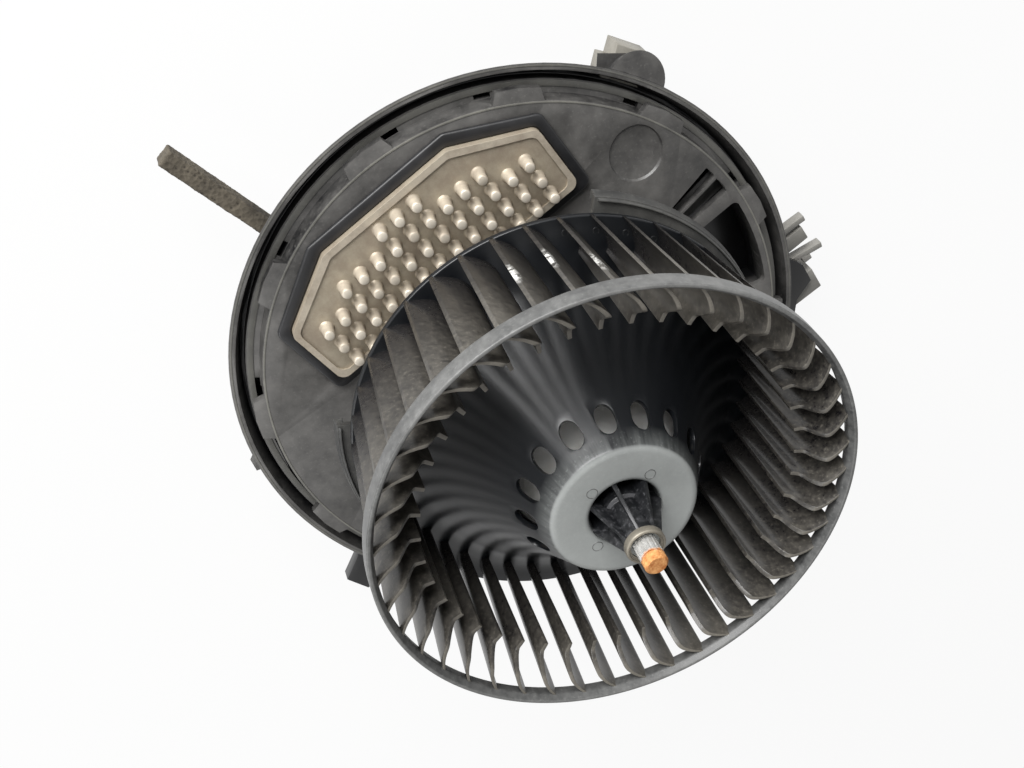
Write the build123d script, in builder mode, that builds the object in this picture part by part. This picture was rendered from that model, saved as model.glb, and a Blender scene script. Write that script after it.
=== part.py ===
from build123d import *
from math import atan2, cos, degrees, hypot, radians, sin
import os

os.makedirs("parts", exist_ok=True)

# Cabin blower motor. Z is the fan axis towards the air intake, z = 0 the seat face of the flange rim
seat_face = 0.0
rest_face = -32.0

# Fan wheel
wheel_top = 91.5
wheel_radius = 75.0
rim_height = 5.3
blade_count = 43
blade_start_angle = 6.8
blade_foot_radius = 58.3
blade_step_radius = 64.0
blade_low = 36.6
blade_top = 89.6
blade_step_top = 81.4
blade_edge_lean = 5.4
wheel_back = 35.8
back_ring_radius = 68.6
back_ring_top = 37.6
hub_disc_top = 87.5
hub_disc_radius = 20.5
hub_wall = 2.0
hub_hole_count = 16
hub_hole_length = 9.6
hub_hole_width = 5.6
recess_radius = 11.2
recess_floor = 77.0
boss_top = 102.6
boss_radius = 5.2
gusset_count = 6

# Shaft and motor
shaft_radius = 3.6
shaft_top = 112.5
can_radius = 29.0
can_wall = 1.6
can_top = 65.0
can_bottom = 1.0
bearing_radius = 8.0
running_gap = 0.03

# Flange
lip_radius = 98.0
lip_wall = 2.0
groove_inner_radius = 92.8
groove_floor = -8.0
shelf_height = -2.6
plate_radius = 88.8
plate_top = 4.0
plate_wall = 2.6
tab_reach = 92.4
tab_first_angle = 14.2
tab_count = 12
tab_half_angle = 5.4
cup_outer_radius = 36.5
cup_inner_radius = 34.0

# Collar behind the fan
collar_radius = 72.2
collar_top = 32.9
collar_wall_inner = 69.4
collar_cut_start = 64.0
collar_cut_end = 155.0

# Heatsink in its own sector
heatsink_angle = 107.2
sink_inner_edge = 44.5
sink_outer_edge = 79.0
sink_half_width = 48.0
sink_shoulder_height = 66.4
sink_nose_half_width = 23.5
sink_top = 8.0
sink_floor = 5.8
sink_base = -1.0
pin_pitch_across = 6.52
pin_pitch_out = 6.4
pin_row_start = 49.4
pin_top = 14.4


def at(radius, angle):
    return Vector(radius * cos(radians(angle)), radius * sin(radians(angle)))


def sector(r_in, r_out, start, end):
    mid = (start + end) / 2
    with BuildSketch(mode=Mode.PRIVATE) as region:
        with BuildLine():
            ThreePointArc(at(r_out, start), at(r_out, mid), at(r_out, end))
            Line(at(r_out, end), at(r_in, end))
            ThreePointArc(at(r_in, end), at(r_in, mid), at(r_in, start))
            Line(at(r_in, start), at(r_out, start))
        make_face()
    return region.sketch


def sink_outline(grow):
    # Hexagon with a blunt nose, drawn with the outward direction along +X of its own sector
    lean = grow * 0.55
    with BuildSketch(mode=Mode.PRIVATE) as region:
        with BuildLine():
            Polyline(
                (sink_inner_edge - grow, -sink_half_width - grow),
                (sink_shoulder_height + lean, -sink_half_width - grow),
                (sink_outer_edge + grow, -sink_nose_half_width - lean),
                (sink_outer_edge + grow, sink_nose_half_width + lean),
                (sink_shoulder_height + lean, sink_half_width + grow),
                (sink_inner_edge - grow, sink_half_width + grow),
                close=True,
            )
        make_face()
        fillet(region.vertices(), 3.0)
    return region.sketch.rotate(Axis.Z, heatsink_angle)


def in_sink(across, out):
    # Point given across and outwards in the heatsink's sector
    return at(hypot(out, across), heatsink_angle + degrees(atan2(across, out)))


def ring(r_in, r_out, z_low, z_high):
    with BuildPart(mode=Mode.PRIVATE) as piece:
        with BuildSketch(Plane.XY.offset(z_low)):
            Circle(r_out)
            if r_in > 0:
                Circle(r_in, mode=Mode.SUBTRACT)
        extrude(amount=z_high - z_low)
    return piece.part


# Fan wheel
with BuildPart() as fan_wheel:
    # Outer part of each blade, an arc that leans back from the rim to the step
    lean = 0.64
    with BuildSketch(Plane.XY.offset(blade_low)):
        for k in range(blade_count):
            rim_angle = blade_start_angle + k * 360 / blade_count
            with BuildLine():
                ThreePointArc(at(74.6, rim_angle + 1.1 + lean), at(69.6, rim_angle - 2.7 + lean),
                              at(blade_step_radius, rim_angle - 4.8))
                Line(at(blade_step_radius, rim_angle - 4.8), at(blade_step_radius, rim_angle - 6.0))
                ThreePointArc(at(blade_step_radius, rim_angle - 6.0), at(69.6, rim_angle - 2.9 - lean),
                              at(74.6, rim_angle + 1.0 - lean))
                Line(at(74.6, rim_angle + 1.0 - lean), at(74.6, rim_angle + 1.1 + lean))
            make_face()
    extrude(amount=blade_top - blade_low)
    # Inner part of each blade, nearly radial and lower at the intake side
    with BuildSketch(Plane.XY.offset(blade_low)):
        for k in range(blade_count):
            foot_angle = blade_start_angle - 5.4 + k * 360 / blade_count
            with BuildLine():
                Polyline(at(blade_step_radius + 0.3, foot_angle - 0.54), at(blade_step_radius + 0.3, foot_angle + 0.6),
                         at(blade_foot_radius, foot_angle + 0.9), at(blade_foot_radius, foot_angle - 0.3), close=True)
            make_face()
    extrude(amount=blade_step_top - blade_low)
    # The blades' outer edges lean in towards the back ring, each one flat
    with BuildSketch(Plane.XY.offset(blade_low)):
        RegularPolygon(back_ring_radius - 0.1, blade_count, rotation=blade_start_angle)
    extrude(amount=blade_top - blade_low, taper=-blade_edge_lean, mode=Mode.INTERSECT)
    # Hub disc, shoulder, cone and flared back ring in one wall
    with BuildSketch(Plane.XZ):
        with BuildLine():
            Polyline((recess_radius, hub_disc_top), (hub_disc_radius, hub_disc_top), (23.2, 86.3), (24.4, 83.4),
                     (44.5, 51.5), (48.6, 46.2), (53.8, 41.6), (60.0, back_ring_top), (back_ring_radius, back_ring_top),
                     (back_ring_radius, wheel_back), (57.6, wheel_back), (50.2, 42.0), (42.8, 50.4), (22.6, 82.5),
                     (19.8, hub_disc_top - hub_wall), (recess_radius + 1.6, hub_disc_top - hub_wall),
                     (recess_radius, recess_floor - 1.8), (shaft_radius, recess_floor - 1.8), (shaft_radius, boss_top),
                     (boss_radius, boss_top), (boss_radius, recess_floor), (recess_radius - 1.4, recess_floor),
                     close=True)
        make_face()
    revolve(axis=Axis.Z)
    # Rim ring with its bevelled inner edge
    with BuildSketch(Plane.XZ):
        with BuildLine():
            Polyline((wheel_radius, wheel_top - rim_height), (wheel_radius, wheel_top), (73.8, wheel_top),
                     (71.2, wheel_top - 3.0), (72.2, wheel_top - rim_height), close=True)
        make_face()
    revolve(axis=Axis.Z)
    # Gussets from the recess edge up to the boss tip
    for k in range(gusset_count):
        with BuildSketch(Plane.XZ.rotated((0, 0, 20 + k * 360 / gusset_count))):
            with BuildLine():
                Polyline((boss_radius - 0.6, recess_floor - 0.6), (recess_radius - 0.7, recess_floor - 0.6),
                         (recess_radius + 0.6, hub_disc_top - 0.6), (boss_radius + 0.5, boss_top - 1.0),
                         (boss_radius - 0.6, boss_top - 1.0), close=True)
            make_face()
        extrude(amount=0.55, both=True)
    # Oval holes through the top of the cone
    for k in range(hub_hole_count):
        hole_angle = 11.1 + k * 360 / hub_hole_count
        wall = Plane(origin=Vector(27.7 * cos(radians(hole_angle)), 27.7 * sin(radians(hole_angle)), 78.2),
                     x_dir=Vector(0.533 * cos(radians(hole_angle)), 0.533 * sin(radians(hole_angle)), -0.846),
                     z_dir=Vector(0.846 * cos(radians(hole_angle)), 0.846 * sin(radians(hole_angle)), 0.533))
        with BuildSketch(wall):
            SlotOverall(hub_hole_length, hub_hole_width)
        extrude(amount=4.0, both=True, mode=Mode.SUBTRACT)
fan_wheel.part.label = "fan_wheel"
export_step(fan_wheel.part, "parts/fan_wheel.step")

# Clamp ring pressed over the boss tip
with BuildPart() as hub_ring:
    with BuildSketch(Plane.XY.offset(boss_top - 0.8)):
        Circle(6.1)
        Circle(boss_radius + 0.05, mode=Mode.SUBTRACT)
    extrude(amount=2.6)
    with BuildSketch(Plane.XY.offset(boss_top)):
        Circle(boss_radius + 0.2)
        Circle(4.5, mode=Mode.SUBTRACT)
    extrude(amount=1.0)
    chamfer(hub_ring.edges().filter_by(GeomType.CIRCLE).group_by(Axis.Z)[-1].sort_by(SortBy.RADIUS)[-1], 0.4)
hub_ring.part.label = "hub_ring"
export_step(hub_ring.part, "parts/hub_ring.step")

# Shaft, with flutes towards its tip and a chamfered end with a small flat
with BuildPart() as motor_shaft:
    with BuildSketch(Plane.XY.offset(-21.0)):
        Circle(shaft_radius)
    extrude(amount=shaft_top + 21.0)
    chamfer(motor_shaft.edges().group_by(Axis.Z)[-1], 0.8)
    chamfer(motor_shaft.edges().group_by(Axis.Z)[0], 0.5)
    with BuildSketch(Plane.XY.offset(boss_top + 0.4)):
        with PolarLocations(shaft_radius + 0.15, 14):
            Circle(0.45)
    extrude(amount=5.8, mode=Mode.SUBTRACT)
    with BuildSketch(Plane.XY.offset(109.2)):
        Circle(shaft_radius + 0.1)
        Circle(shaft_radius - 0.35, mode=Mode.SUBTRACT)
    extrude(amount=0.6, mode=Mode.SUBTRACT)
motor_shaft.part.label = "motor_shaft"
export_step(motor_shaft.part, "parts/motor_shaft.step")

# Steel can with rounded shoulder and bearing nose
with BuildPart() as motor_can:
    with BuildSketch(Plane.XZ):
        with BuildLine():
            Polyline((can_radius, can_bottom), (can_radius, can_top - 5), (can_radius - 1.5, can_top - 1.5),
                     (can_radius - 5, can_top))
            Line((can_radius - 5, can_top), (bearing_radius + 2.0, can_top))
            Line((bearing_radius + 2.0, can_top), (bearing_radius + 1.6, can_top + 5.0))
            Line((bearing_radius + 1.6, can_top + 5.0), (4.6, can_top + 5.0))
            Line((4.6, can_top + 5.0), (4.6, can_top + 3.5))
            Line((4.6, can_top + 3.5), (bearing_radius, can_top + 3.5))
            Line((bearing_radius, can_top + 3.5), (bearing_radius, can_top - can_wall))
            Line((bearing_radius, can_top - can_wall), (can_radius - 5.4, can_top - can_wall))
            Line((can_radius - 5.4, can_top - can_wall), (can_radius - can_wall, can_top - 5.4))
            Line((can_radius - can_wall, can_top - 5.4), (can_radius - can_wall, can_bottom))
            Line((can_radius - can_wall, can_bottom), (can_radius, can_bottom))
        make_face()
    revolve(axis=Axis.Z)
    # Cooling windows in the end face
    with BuildSketch(Plane.XY.offset(can_top - 4)):
        for k in range(4):
            add(sector(13.0, 20.0, k * 90 + 20, k * 90 + 70))
    extrude(amount=6, mode=Mode.SUBTRACT)
motor_can.part.label = "motor_can"
export_step(motor_can.part, "parts/motor_can.step")

# End plate that closes the can
with BuildPart() as end_plate:
    with BuildSketch(Plane.XZ):
        with BuildLine():
            Polyline((29.6, can_bottom), (29.6, can_bottom - 1.6), (11.0, can_bottom - 1.6), (11.0, -17.0), (4.6, -17.0),
                     (4.6, -15.6), (bearing_radius, -15.6), (bearing_radius, can_bottom), close=True)
        make_face()
    revolve(axis=Axis.Z)
    with BuildSketch(Plane.XY.offset(can_bottom - 3)):
        for k in range(3):
            add(sector(15.0, 22.0, k * 120 - 20, k * 120 + 20))
    extrude(amount=6, mode=Mode.SUBTRACT)
end_plate.part.label = "end_plate"
export_step(end_plate.part, "parts/end_plate.step")

# Sintered bearings
with BuildPart() as front_bearing:
    add(ring(shaft_radius + running_gap, bearing_radius, can_top - 4.0, can_top + 3.5))
front_bearing.part.label = "front_bearing"
export_step(front_bearing.part, "parts/front_bearing.step")

with BuildPart() as rear_bearing:
    add(ring(shaft_radius + running_gap, bearing_radius, -15.6, -8.4))
rear_bearing.part.label = "rear_bearing"
export_step(rear_bearing.part, "parts/rear_bearing.step")

# Two arc magnets against the can wall
with BuildPart() as field_magnets:
    with BuildSketch(Plane.XY.offset(20.0)):
        add(sector(23.4, can_radius - can_wall, -62, 62))
        add(sector(23.4, can_radius - can_wall, 118, 242))
    extrude(amount=36.0)
field_magnets.part.label = "field_magnets"
export_step(field_magnets.part, "parts/field_magnets.step")

# Laminated armature with slots
with BuildPart() as armature_core:
    with BuildSketch(Plane.XY.offset(24.0)):
        Circle(22.6)
        Circle(shaft_radius, mode=Mode.SUBTRACT)
        with PolarLocations(15.4, 12):
            Rectangle(9.0, 4.4, mode=Mode.SUBTRACT)
        with PolarLocations(21.5, 12):
            Rectangle(4.0, 1.8, mode=Mode.SUBTRACT)
    extrude(amount=26.0)
armature_core.part.label = "armature_core"
export_step(armature_core.part, "parts/armature_core.step")

# Copper coil heads at both ends of the core
with BuildPart() as windings:
    for low in (19.0, 50.0):
        with BuildSketch(Plane.XY.offset(low)):
            Circle(20.2)
            Circle(8.2, mode=Mode.SUBTRACT)
        extrude(amount=5.0)
    with BuildSketch(Plane.XY.offset(23.9)):
        with PolarLocations(15.4, 12):
            Rectangle(8.2, 3.6)
    extrude(amount=26.2)
windings.part.label = "windings"
export_step(windings.part, "parts/windings.step")

# Commutator with grooves between its bars
with BuildPart() as commutator:
    add(ring(shaft_radius, 10.0, 3.0, 16.0))
    add(ring(shaft_radius, 12.0, 13.6, 16.0))
    with BuildSketch(Plane.XY.offset(2.9)):
        with PolarLocations(10.0, 12):
            Rectangle(2.0, 0.6)
    extrude(amount=10.0, mode=Mode.SUBTRACT)
commutator.part.label = "commutator"
export_step(commutator.part, "parts/commutator.step")

# Thrust washers outside both bearings
with BuildPart() as thrust_washers:
    add(ring(shaft_radius, 6.0, 59.0, 60.2))
    add(ring(shaft_radius, 6.0, -7.4, -6.2))
thrust_washers.part.label = "thrust_washers"
export_step(thrust_washers.part, "parts/thrust_washers.step")

# Brush card with two open brush boxes
with BuildPart() as brush_card:
    add(ring(12.8, can_radius - can_wall - 0.3, 2.2, 4.4))
    for side in (0, 180):
        with BuildSketch(Plane.XY.offset(4.4)):
            with Locations(at(19.0, side)):
                Rectangle(13.0, 9.0, rotation=side)
        extrude(amount=8.6)
        with BuildSketch(Plane.XY.offset(6.2)):
            with Locations(at(19.0, side)):
                Rectangle(14.0, 6.2, rotation=side)
        extrude(amount=5.2, mode=Mode.SUBTRACT)
brush_card.part.label = "brush_card"
export_step(brush_card.part, "parts/brush_card.step")

with BuildPart() as carbon_brushes:
    for side in (0, 180):
        with BuildSketch(Plane.XY.offset(6.3)):
            with Locations(at(14.8, side)):
                Rectangle(8.8, 6.0, rotation=side)
        extrude(amount=5.0)
    add(ring(0, 10.05, 3.0, 14.0), mode=Mode.SUBTRACT)
carbon_brushes.part.label = "carbon_brushes"
export_step(carbon_brushes.part, "parts/carbon_brushes.step")

# Short compression springs behind the brushes, drawn as stacked turns on a thin core
with BuildPart() as brush_springs:
    for side in (0, 180):
        start = at(19.2, side)
        with BuildSketch(Plane(origin=(start.X, start.Y, 8.8), z_dir=at(1.0, side))):
            Rectangle(1.8, 1.8)
        extrude(amount=5.8)
        for turn in range(4):
            coil = at(19.9 + turn * 1.4, side)
            with BuildSketch(Plane(origin=(coil.X, coil.Y, 8.8), z_dir=at(1.0, side))):
                RegularPolygon(2.0, 8)
            extrude(amount=0.7)
brush_springs.part.label = "brush_springs"
export_step(brush_springs.part, "parts/brush_springs.step")

# Rubber pads that hold the can inside the cup
with BuildPart() as rubber_mounts:
    with BuildSketch(Plane.XY.offset(6.0)):
        for k in range(3):
            add(sector(can_radius + 0.15, cup_inner_radius - 0.15, k * 120 + 10, k * 120 + 50))
    extrude(amount=24.0)
rubber_mounts.part.label = "rubber_mounts"
export_step(rubber_mounts.part, "parts/rubber_mounts.step")

# Motor carrier: cup, floor, deck and collar wall in one moulding
deck_span_start = collar_cut_end
deck_span_end = collar_cut_start + 360
with BuildPart() as motor_carrier:
    add(ring(cup_inner_radius, cup_outer_radius, rest_face, 34.0))
    add(ring(0, cup_outer_radius, rest_face, rest_face + 2.4))
    # Foot ring that sits on the plate
    add(ring(cup_outer_radius - 0.5, 40.4, plate_top, plate_top + 2.4))
    with BuildSketch(Plane.XY.offset(29.8)):
        add(sector(cup_outer_radius - 0.5, collar_radius - 0.6, deck_span_start, deck_span_end))
    extrude(amount=2.0)
    # Overhanging collar with a chamfered top edge
    with BuildSketch(Plane.XY.offset(28.0)):
        add(sector(collar_wall_inner, collar_radius, deck_span_start, deck_span_end))
    extrude(amount=collar_top - 28.0, taper=14)
    # Ribs under the deck
    for k in range(6):
        with BuildSketch(Plane.XZ.rotated((0, 0, collar_cut_end + 12 + k * 49))):
            with BuildLine():
                Polyline((cup_outer_radius - 0.5, 8.0), (cup_outer_radius + 2.0, 8.0), (collar_wall_inner, 28.6),
                         (collar_wall_inner, 30.4), (cup_outer_radius - 0.5, 30.4), close=True)
            make_face()
        extrude(amount=0.9, both=True)
    # Screw bosses on the foot ring
    for angle in (205, 285, 5):
        with BuildSketch(Plane.XY.offset(plate_top)):
            with Locations(at(46.0, angle)):
                Circle(5.0)
                Circle(2.2, mode=Mode.SUBTRACT)
            add(sector(39.6, 43.0, angle - 7, angle + 7))
        extrude(amount=4.0)
    # Ledges that stop the can
    with BuildSketch(Plane.XY.offset(-4.0)):
        for k in range(3):
            add(sector(29.8, cup_inner_radius + 0.5, k * 120 + 10, k * 120 + 50))
    extrude(amount=3.2)
    # Air slots in the cup wall, below the end plate
    for k in range(6):
        with BuildSketch(Plane.XY.offset(-26.0)):
            with Locations(at(cup_outer_radius - 1, k * 60 + 30)):
                Rectangle(6.0, 12.0, rotation=k * 60 + 30)
        extrude(amount=16.0, mode=Mode.SUBTRACT)
motor_carrier.part.label = "motor_carrier"
export_step(motor_carrier.part, "parts/motor_carrier.step")

# Screws that fix the carrier to the flange plate
with BuildPart() as carrier_screws:
    for angle in (205, 285, 5):
        with BuildSketch(Plane.XY.offset(8.0)):
            with Locations(at(46.0, angle)):
                Circle(4.0)
        extrude(amount=2.4)
        with BuildSketch(Plane.XY.offset(-1.5)):
            with Locations(at(46.0, angle)):
                Circle(1.9)
        extrude(amount=9.6)
        with BuildSketch(Plane.XY.offset(9.2)):
            with Locations(at(46.0, angle)):
                RegularPolygon(2.0, 6)
        extrude(amount=1.4, mode=Mode.SUBTRACT)
carrier_screws.part.label = "carrier_screws"
export_step(carrier_screws.part, "parts/carrier_screws.step")

# Mounting flange
with BuildPart() as mounting_flange:
    # Section of the rim: lip, groove, shelf, step and plate
    with BuildSketch(Plane.XZ):
        with BuildLine():
            Polyline((38.0, plate_top), (plate_radius, plate_top), (plate_radius, shelf_height),
                     (groove_inner_radius, shelf_height), (groove_inner_radius, groove_floor),
                     (lip_radius - lip_wall, groove_floor), (lip_radius - lip_wall, seat_face), (lip_radius, seat_face),
                     (lip_radius, groove_floor - 2.0), (groove_inner_radius - 2.4, groove_floor - 2.0),
                     (groove_inner_radius - 2.4, shelf_height - 2.2), (plate_radius - 2.4, shelf_height - 2.2),
                     (plate_radius - 2.4, plate_top - plate_wall), (38.0, plate_top - plate_wall), close=True)
        make_face()
    revolve(axis=Axis.Z)
    # Bayonet tabs that stand out over the shelf
    for k in range(tab_count):
        middle = tab_first_angle + k * 360 / tab_count
        with BuildSketch(Plane.XY.offset(plate_top - plate_wall)):
            with BuildLine():
                Polyline(at(plate_radius - 1.5, middle - tab_half_angle), at(tab_reach, middle - tab_half_angle + 1.2),
                         at(tab_reach + 0.35, middle), at(tab_reach, middle + tab_half_angle - 1.2),
                         at(plate_radius - 1.5, middle + tab_half_angle), close=True)
            make_face()
        extrude(amount=plate_wall)
        # Moulding window in the shelf beside each tab, on its side away from the heatsink
        window_side = -1 if heatsink_angle < middle + 10 < heatsink_angle + 180 else 1
        window_middle = middle + window_side * (tab_half_angle + 0.4)
        with BuildSketch(Plane.XY.offset(shelf_height - 3.0)):
            add(sector(plate_radius + 0.2, groove_inner_radius - 0.5, window_middle - 1.6, window_middle + 1.6))
        extrude(amount=4.0, mode=Mode.SUBTRACT)
    # Window that the heatsink stands in
    with BuildSketch(Plane.XY.offset(plate_top - plate_wall - 1)):
        add(sink_outline(0.4))
    extrude(amount=plate_wall + 2, mode=Mode.SUBTRACT)
    # Cooling-air opening, with rounded corners
    with BuildSketch(Plane.XY.offset(plate_top - plate_wall - 1)):
        add(sector(62.0, 86.0, -5.6, 18.0))
        fillet(vertices(), 2.2)
    extrude(amount=plate_wall + 2, mode=Mode.SUBTRACT)
    # Two ramp slots beside the opening
    for middle in (23.7, 28.0):
        with BuildSketch(Plane.XY.offset(plate_top - 1.4)):
            add(sector(66.0, 85.4, middle - 1.3, middle + 1.3))
        extrude(amount=2.0, mode=Mode.SUBTRACT)
    # Shallow round dimple
    with BuildSketch(Plane.XY.offset(plate_top)):
        with Locations(at(77.5, 46.5)):
            Circle(9.0)
    extrude(amount=-0.7, taper=35, mode=Mode.SUBTRACT)
    # Half-round ear on the rim with its thick clip block
    with BuildSketch(Plane.XY.offset(-4.2)):
        with Locations(at(96.4, 50.8)):
            Circle(9.2)
        Circle(lip_radius - 0.6, mode=Mode.SUBTRACT)
    extrude(amount=3.4)
    with BuildSketch(Plane.XY.offset(-16.0)):
        with Locations(at(99.0, 55.0)):
            Rectangle(9.0, 11.0, rotation=68)
        Circle(lip_radius - 0.4, mode=Mode.SUBTRACT)
    extrude(amount=12.0)
    # Foot on the other side
    with BuildSketch(Plane.XY.offset(-14.0)):
        with BuildLine():
            Polyline(at(lip_radius - 0.6, -152.0), at(109.0, -148.0), at(110.5, -144.5), at(lip_radius - 0.6, -139.0), close=True)
        make_face()
        Circle(lip_radius - 0.8, mode=Mode.SUBTRACT)
    extrude(amount=5.0)
    # Small stop on the lip
    with BuildSketch(Plane.XY.offset(-6.0)):
        with Locations(at(98.2, 175.6)):
            Rectangle(2.4, 5.0, rotation=175.6)
        Circle(lip_radius - 1.0, mode=Mode.SUBTRACT)
    extrude(amount=5.0)
    # Wing that carries the plug housing
    with BuildSketch(Plane.XY.offset(groove_floor - 2.0)):
        with BuildLine():
            Polyline(at(lip_radius - 0.8, -4.0), at(104.0, -8.5), at(111.0, -16.0), at(110.0, -18.5),
                     at(lip_radius - 0.8, -24.0), close=True)
        make_face()
        Circle(lip_radius - 1.0, mode=Mode.SUBTRACT)
    extrude(amount=2.4)
    # Screw holes for the carrier
    with BuildSketch(Plane.XY.offset(-2.0)):
        for angle in (205, 285, 5):
            with Locations(at(46.0, angle)):
                Circle(1.9)
    extrude(amount=8.0, mode=Mode.SUBTRACT)
mounting_flange.part.label = "mounting_flange"
export_step(mounting_flange.part, "parts/mounting_flange.step")

# Heatsink with raised edge and pins
with BuildPart() as heatsink:
    with BuildSketch(Plane.XY.offset(sink_base)):
        add(sink_outline(0.0))
    extrude(amount=sink_top - sink_base)
    with BuildSketch(Plane.XY.offset(sink_floor)):
        add(sink_outline(-1.9))
    extrude(amount=5.0, mode=Mode.SUBTRACT)
    with BuildSketch(Plane.XY.offset(sink_floor - 0.1)):
        for row in range(5):
            reach = (6, 6, 6, 4, 1)[row]
            for column in range(-reach, reach + 1):
                with Locations(in_sink(column * pin_pitch_across - 0.2, pin_row_start + row * pin_pitch_out)):
                    RegularPolygon(2.2, 10)
    extrude(amount=pin_top - sink_floor, taper=2.6)
heatsink.part.label = "heatsink"
export_step(heatsink.part, "parts/heatsink.step")

# Soft frame around the heatsink
with BuildPart() as heatsink_gasket:
    with BuildSketch(Plane.XY.offset(plate_top)):
        add(sink_outline(3.6))
        add(sink_outline(0.1), mode=Mode.SUBTRACT)
    extrude(amount=2.8)
heatsink_gasket.part.label = "heatsink_gasket"
export_step(heatsink_gasket.part, "parts/heatsink_gasket.step")

# Circuit board and what is soldered to it
board_top = -6.4
screw_places = [in_sink(-40.0, 50.0), in_sink(40.0, 50.0), in_sink(-22.0, 72.0), in_sink(22.0, 72.0)]
with BuildPart() as circuit_board:
    with BuildSketch(Plane.XY.offset(board_top - 1.6)):
        add(sink_outline(-1.2))
        with Locations(*screw_places):
            Circle(1.7, mode=Mode.SUBTRACT)
    extrude(amount=1.6)
circuit_board.part.label = "circuit_board"
export_step(circuit_board.part, "parts/circuit_board.step")

with BuildPart() as power_transistors:
    for k in range(4):
        with BuildSketch(Plane.XY.offset(board_top)):
            with Locations(in_sink(-30.0 + k * 20.0, 57.0)):
                Rectangle(14.0, 10.0, rotation=heatsink_angle)
        extrude(amount=sink_base - board_top)
power_transistors.part.label = "power_transistors"
export_step(power_transistors.part, "parts/power_transistors.step")

with BuildPart() as capacitors:
    for across in (-26.0, -8.0):
        with BuildSketch(Plane.XY.offset(-27.0)):
            with Locations(in_sink(across, 60.0)):
                Circle(7.5)
        extrude(amount=27.0 + board_top - 1.6)
capacitors.part.label = "capacitors"
export_step(capacitors.part, "parts/capacitors.step")

with BuildPart() as choke_coil:
    with BuildSketch(Plane.XY.offset(-20.0)):
        with Locations(in_sink(14.0, 59.0)):
            Circle(10.0)
            Circle(4.0, mode=Mode.SUBTRACT)
    extrude(amount=20.0 + board_top - 1.6)
choke_coil.part.label = "choke_coil"
export_step(choke_coil.part, "parts/choke_coil.step")

# Rear cover of the regulator, a tray that also rests on the bench
with BuildPart() as regulator_cover:
    with BuildSketch(Plane.XY.offset(rest_face)):
        add(sink_outline(2.5))
    extrude(amount=plate_top - plate_wall - rest_face)
    fillet(regulator_cover.edges().group_by(Axis.Z)[0], 1.5)
    with BuildSketch(Plane.XY.offset(rest_face + 2.2)):
        add(sink_outline(0.3))
    extrude(amount=40.0, mode=Mode.SUBTRACT)
regulator_cover.part.label = "regulator_cover"
export_step(regulator_cover.part, "parts/regulator_cover.step")

# Plug housing with latch fingers beside the flange rim
plug_angle = -12.0
with BuildPart() as plug_housing:
    with BuildSketch(Plane.XY.offset(-28.0)):
        with Locations(at(103.5, plug_angle - 4.0)):
            Rectangle(14.0, 22.0, rotation=plug_angle - 4.0)
    extrude(amount=17.9)
    with BuildSketch(Plane.XY.offset(-29.0)):
        with Locations(at(103.5, plug_angle - 4.0)):
            Rectangle(10.4, 18.0, rotation=plug_angle - 4.0)
    extrude(amount=14.0, mode=Mode.SUBTRACT)
    # Latch fingers and key block
    for angle, width, reach in ((4.6, 3.4, 107.5), (1.0, 7.0, 106.5), (-5.6, 3.4, 110.0)):
        with BuildSketch(Plane.XY.offset(-14.0)):
            with Locations(at((96.0 + reach) / 2, angle)):
                SlotOverall(reach - 90.0, width, rotation=angle + 8)
            Circle(lip_radius + 0.3, mode=Mode.SUBTRACT)
        extrude(amount=4.0)
    with BuildSketch(Plane.XY.offset(-16.0)):
        add(sector(lip_radius + 0.3, 100.8, -18.0, 6.0))
    extrude(amount=5.9)
plug_housing.part.label = "plug_housing"
export_step(plug_housing.part, "parts/plug_housing.step")

with BuildPart() as plug_pins:
    for shift in (-6.0, -2.0, 2.0, 6.0):
        base = at(103.5, plug_angle - 4.0) + at(shift, plug_angle + 86.0)
        with BuildSketch(Plane.XY.offset(-25.0)):
            with Locations(base):
                Rectangle(0.8, 2.4, rotation=plug_angle - 4.0)
        extrude(amount=10.0)
plug_pins.part.label = "plug_pins"
export_step(plug_pins.part, "parts/plug_pins.step")

# Screws of the regulator
with BuildPart() as regulator_screws:
    for centre in screw_places:
        with BuildSketch(Plane.XY.offset(board_top - 3.8)):
            with Locations(centre):
                RegularPolygon(2.8, 6)
        extrude(amount=2.2)
        with BuildSketch(Plane.XY.offset(board_top - 2.0)):
            with Locations(centre):
                Circle(1.4)
        extrude(amount=2.0 + sink_base - board_top)
        with BuildSketch(Plane.XY.offset(board_top)):
            with Locations(centre):
                RegularPolygon(3.0, 6)
        extrude(amount=sink_base - board_top)
regulator_screws.part.label = "regulator_screws"
export_step(regulator_screws.part, "parts/regulator_screws.step")

# Foam sealing strip, its fixed part behind the rim and its loose end sticking out
strip_start = at(97.0, 127.0)
strip_end = at(127.0, 124.4)
strip_turn = degrees(atan2(strip_end.Y - strip_start.Y, strip_end.X - strip_start.X))
with BuildPart() as foam_strip:
    with BuildSketch(Plane.XY.offset(-16.4)):
        with Locations((strip_start + strip_end) / 2):
            Rectangle(48.0, 6.4, rotation=strip_turn)
    extrude(amount=6.0)
foam_strip.part.label = "foam_strip"
export_step(foam_strip.part, "parts/foam_strip.step")
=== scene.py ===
import math

import bmesh
import bpy
from mathutils import Matrix, Vector


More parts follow.
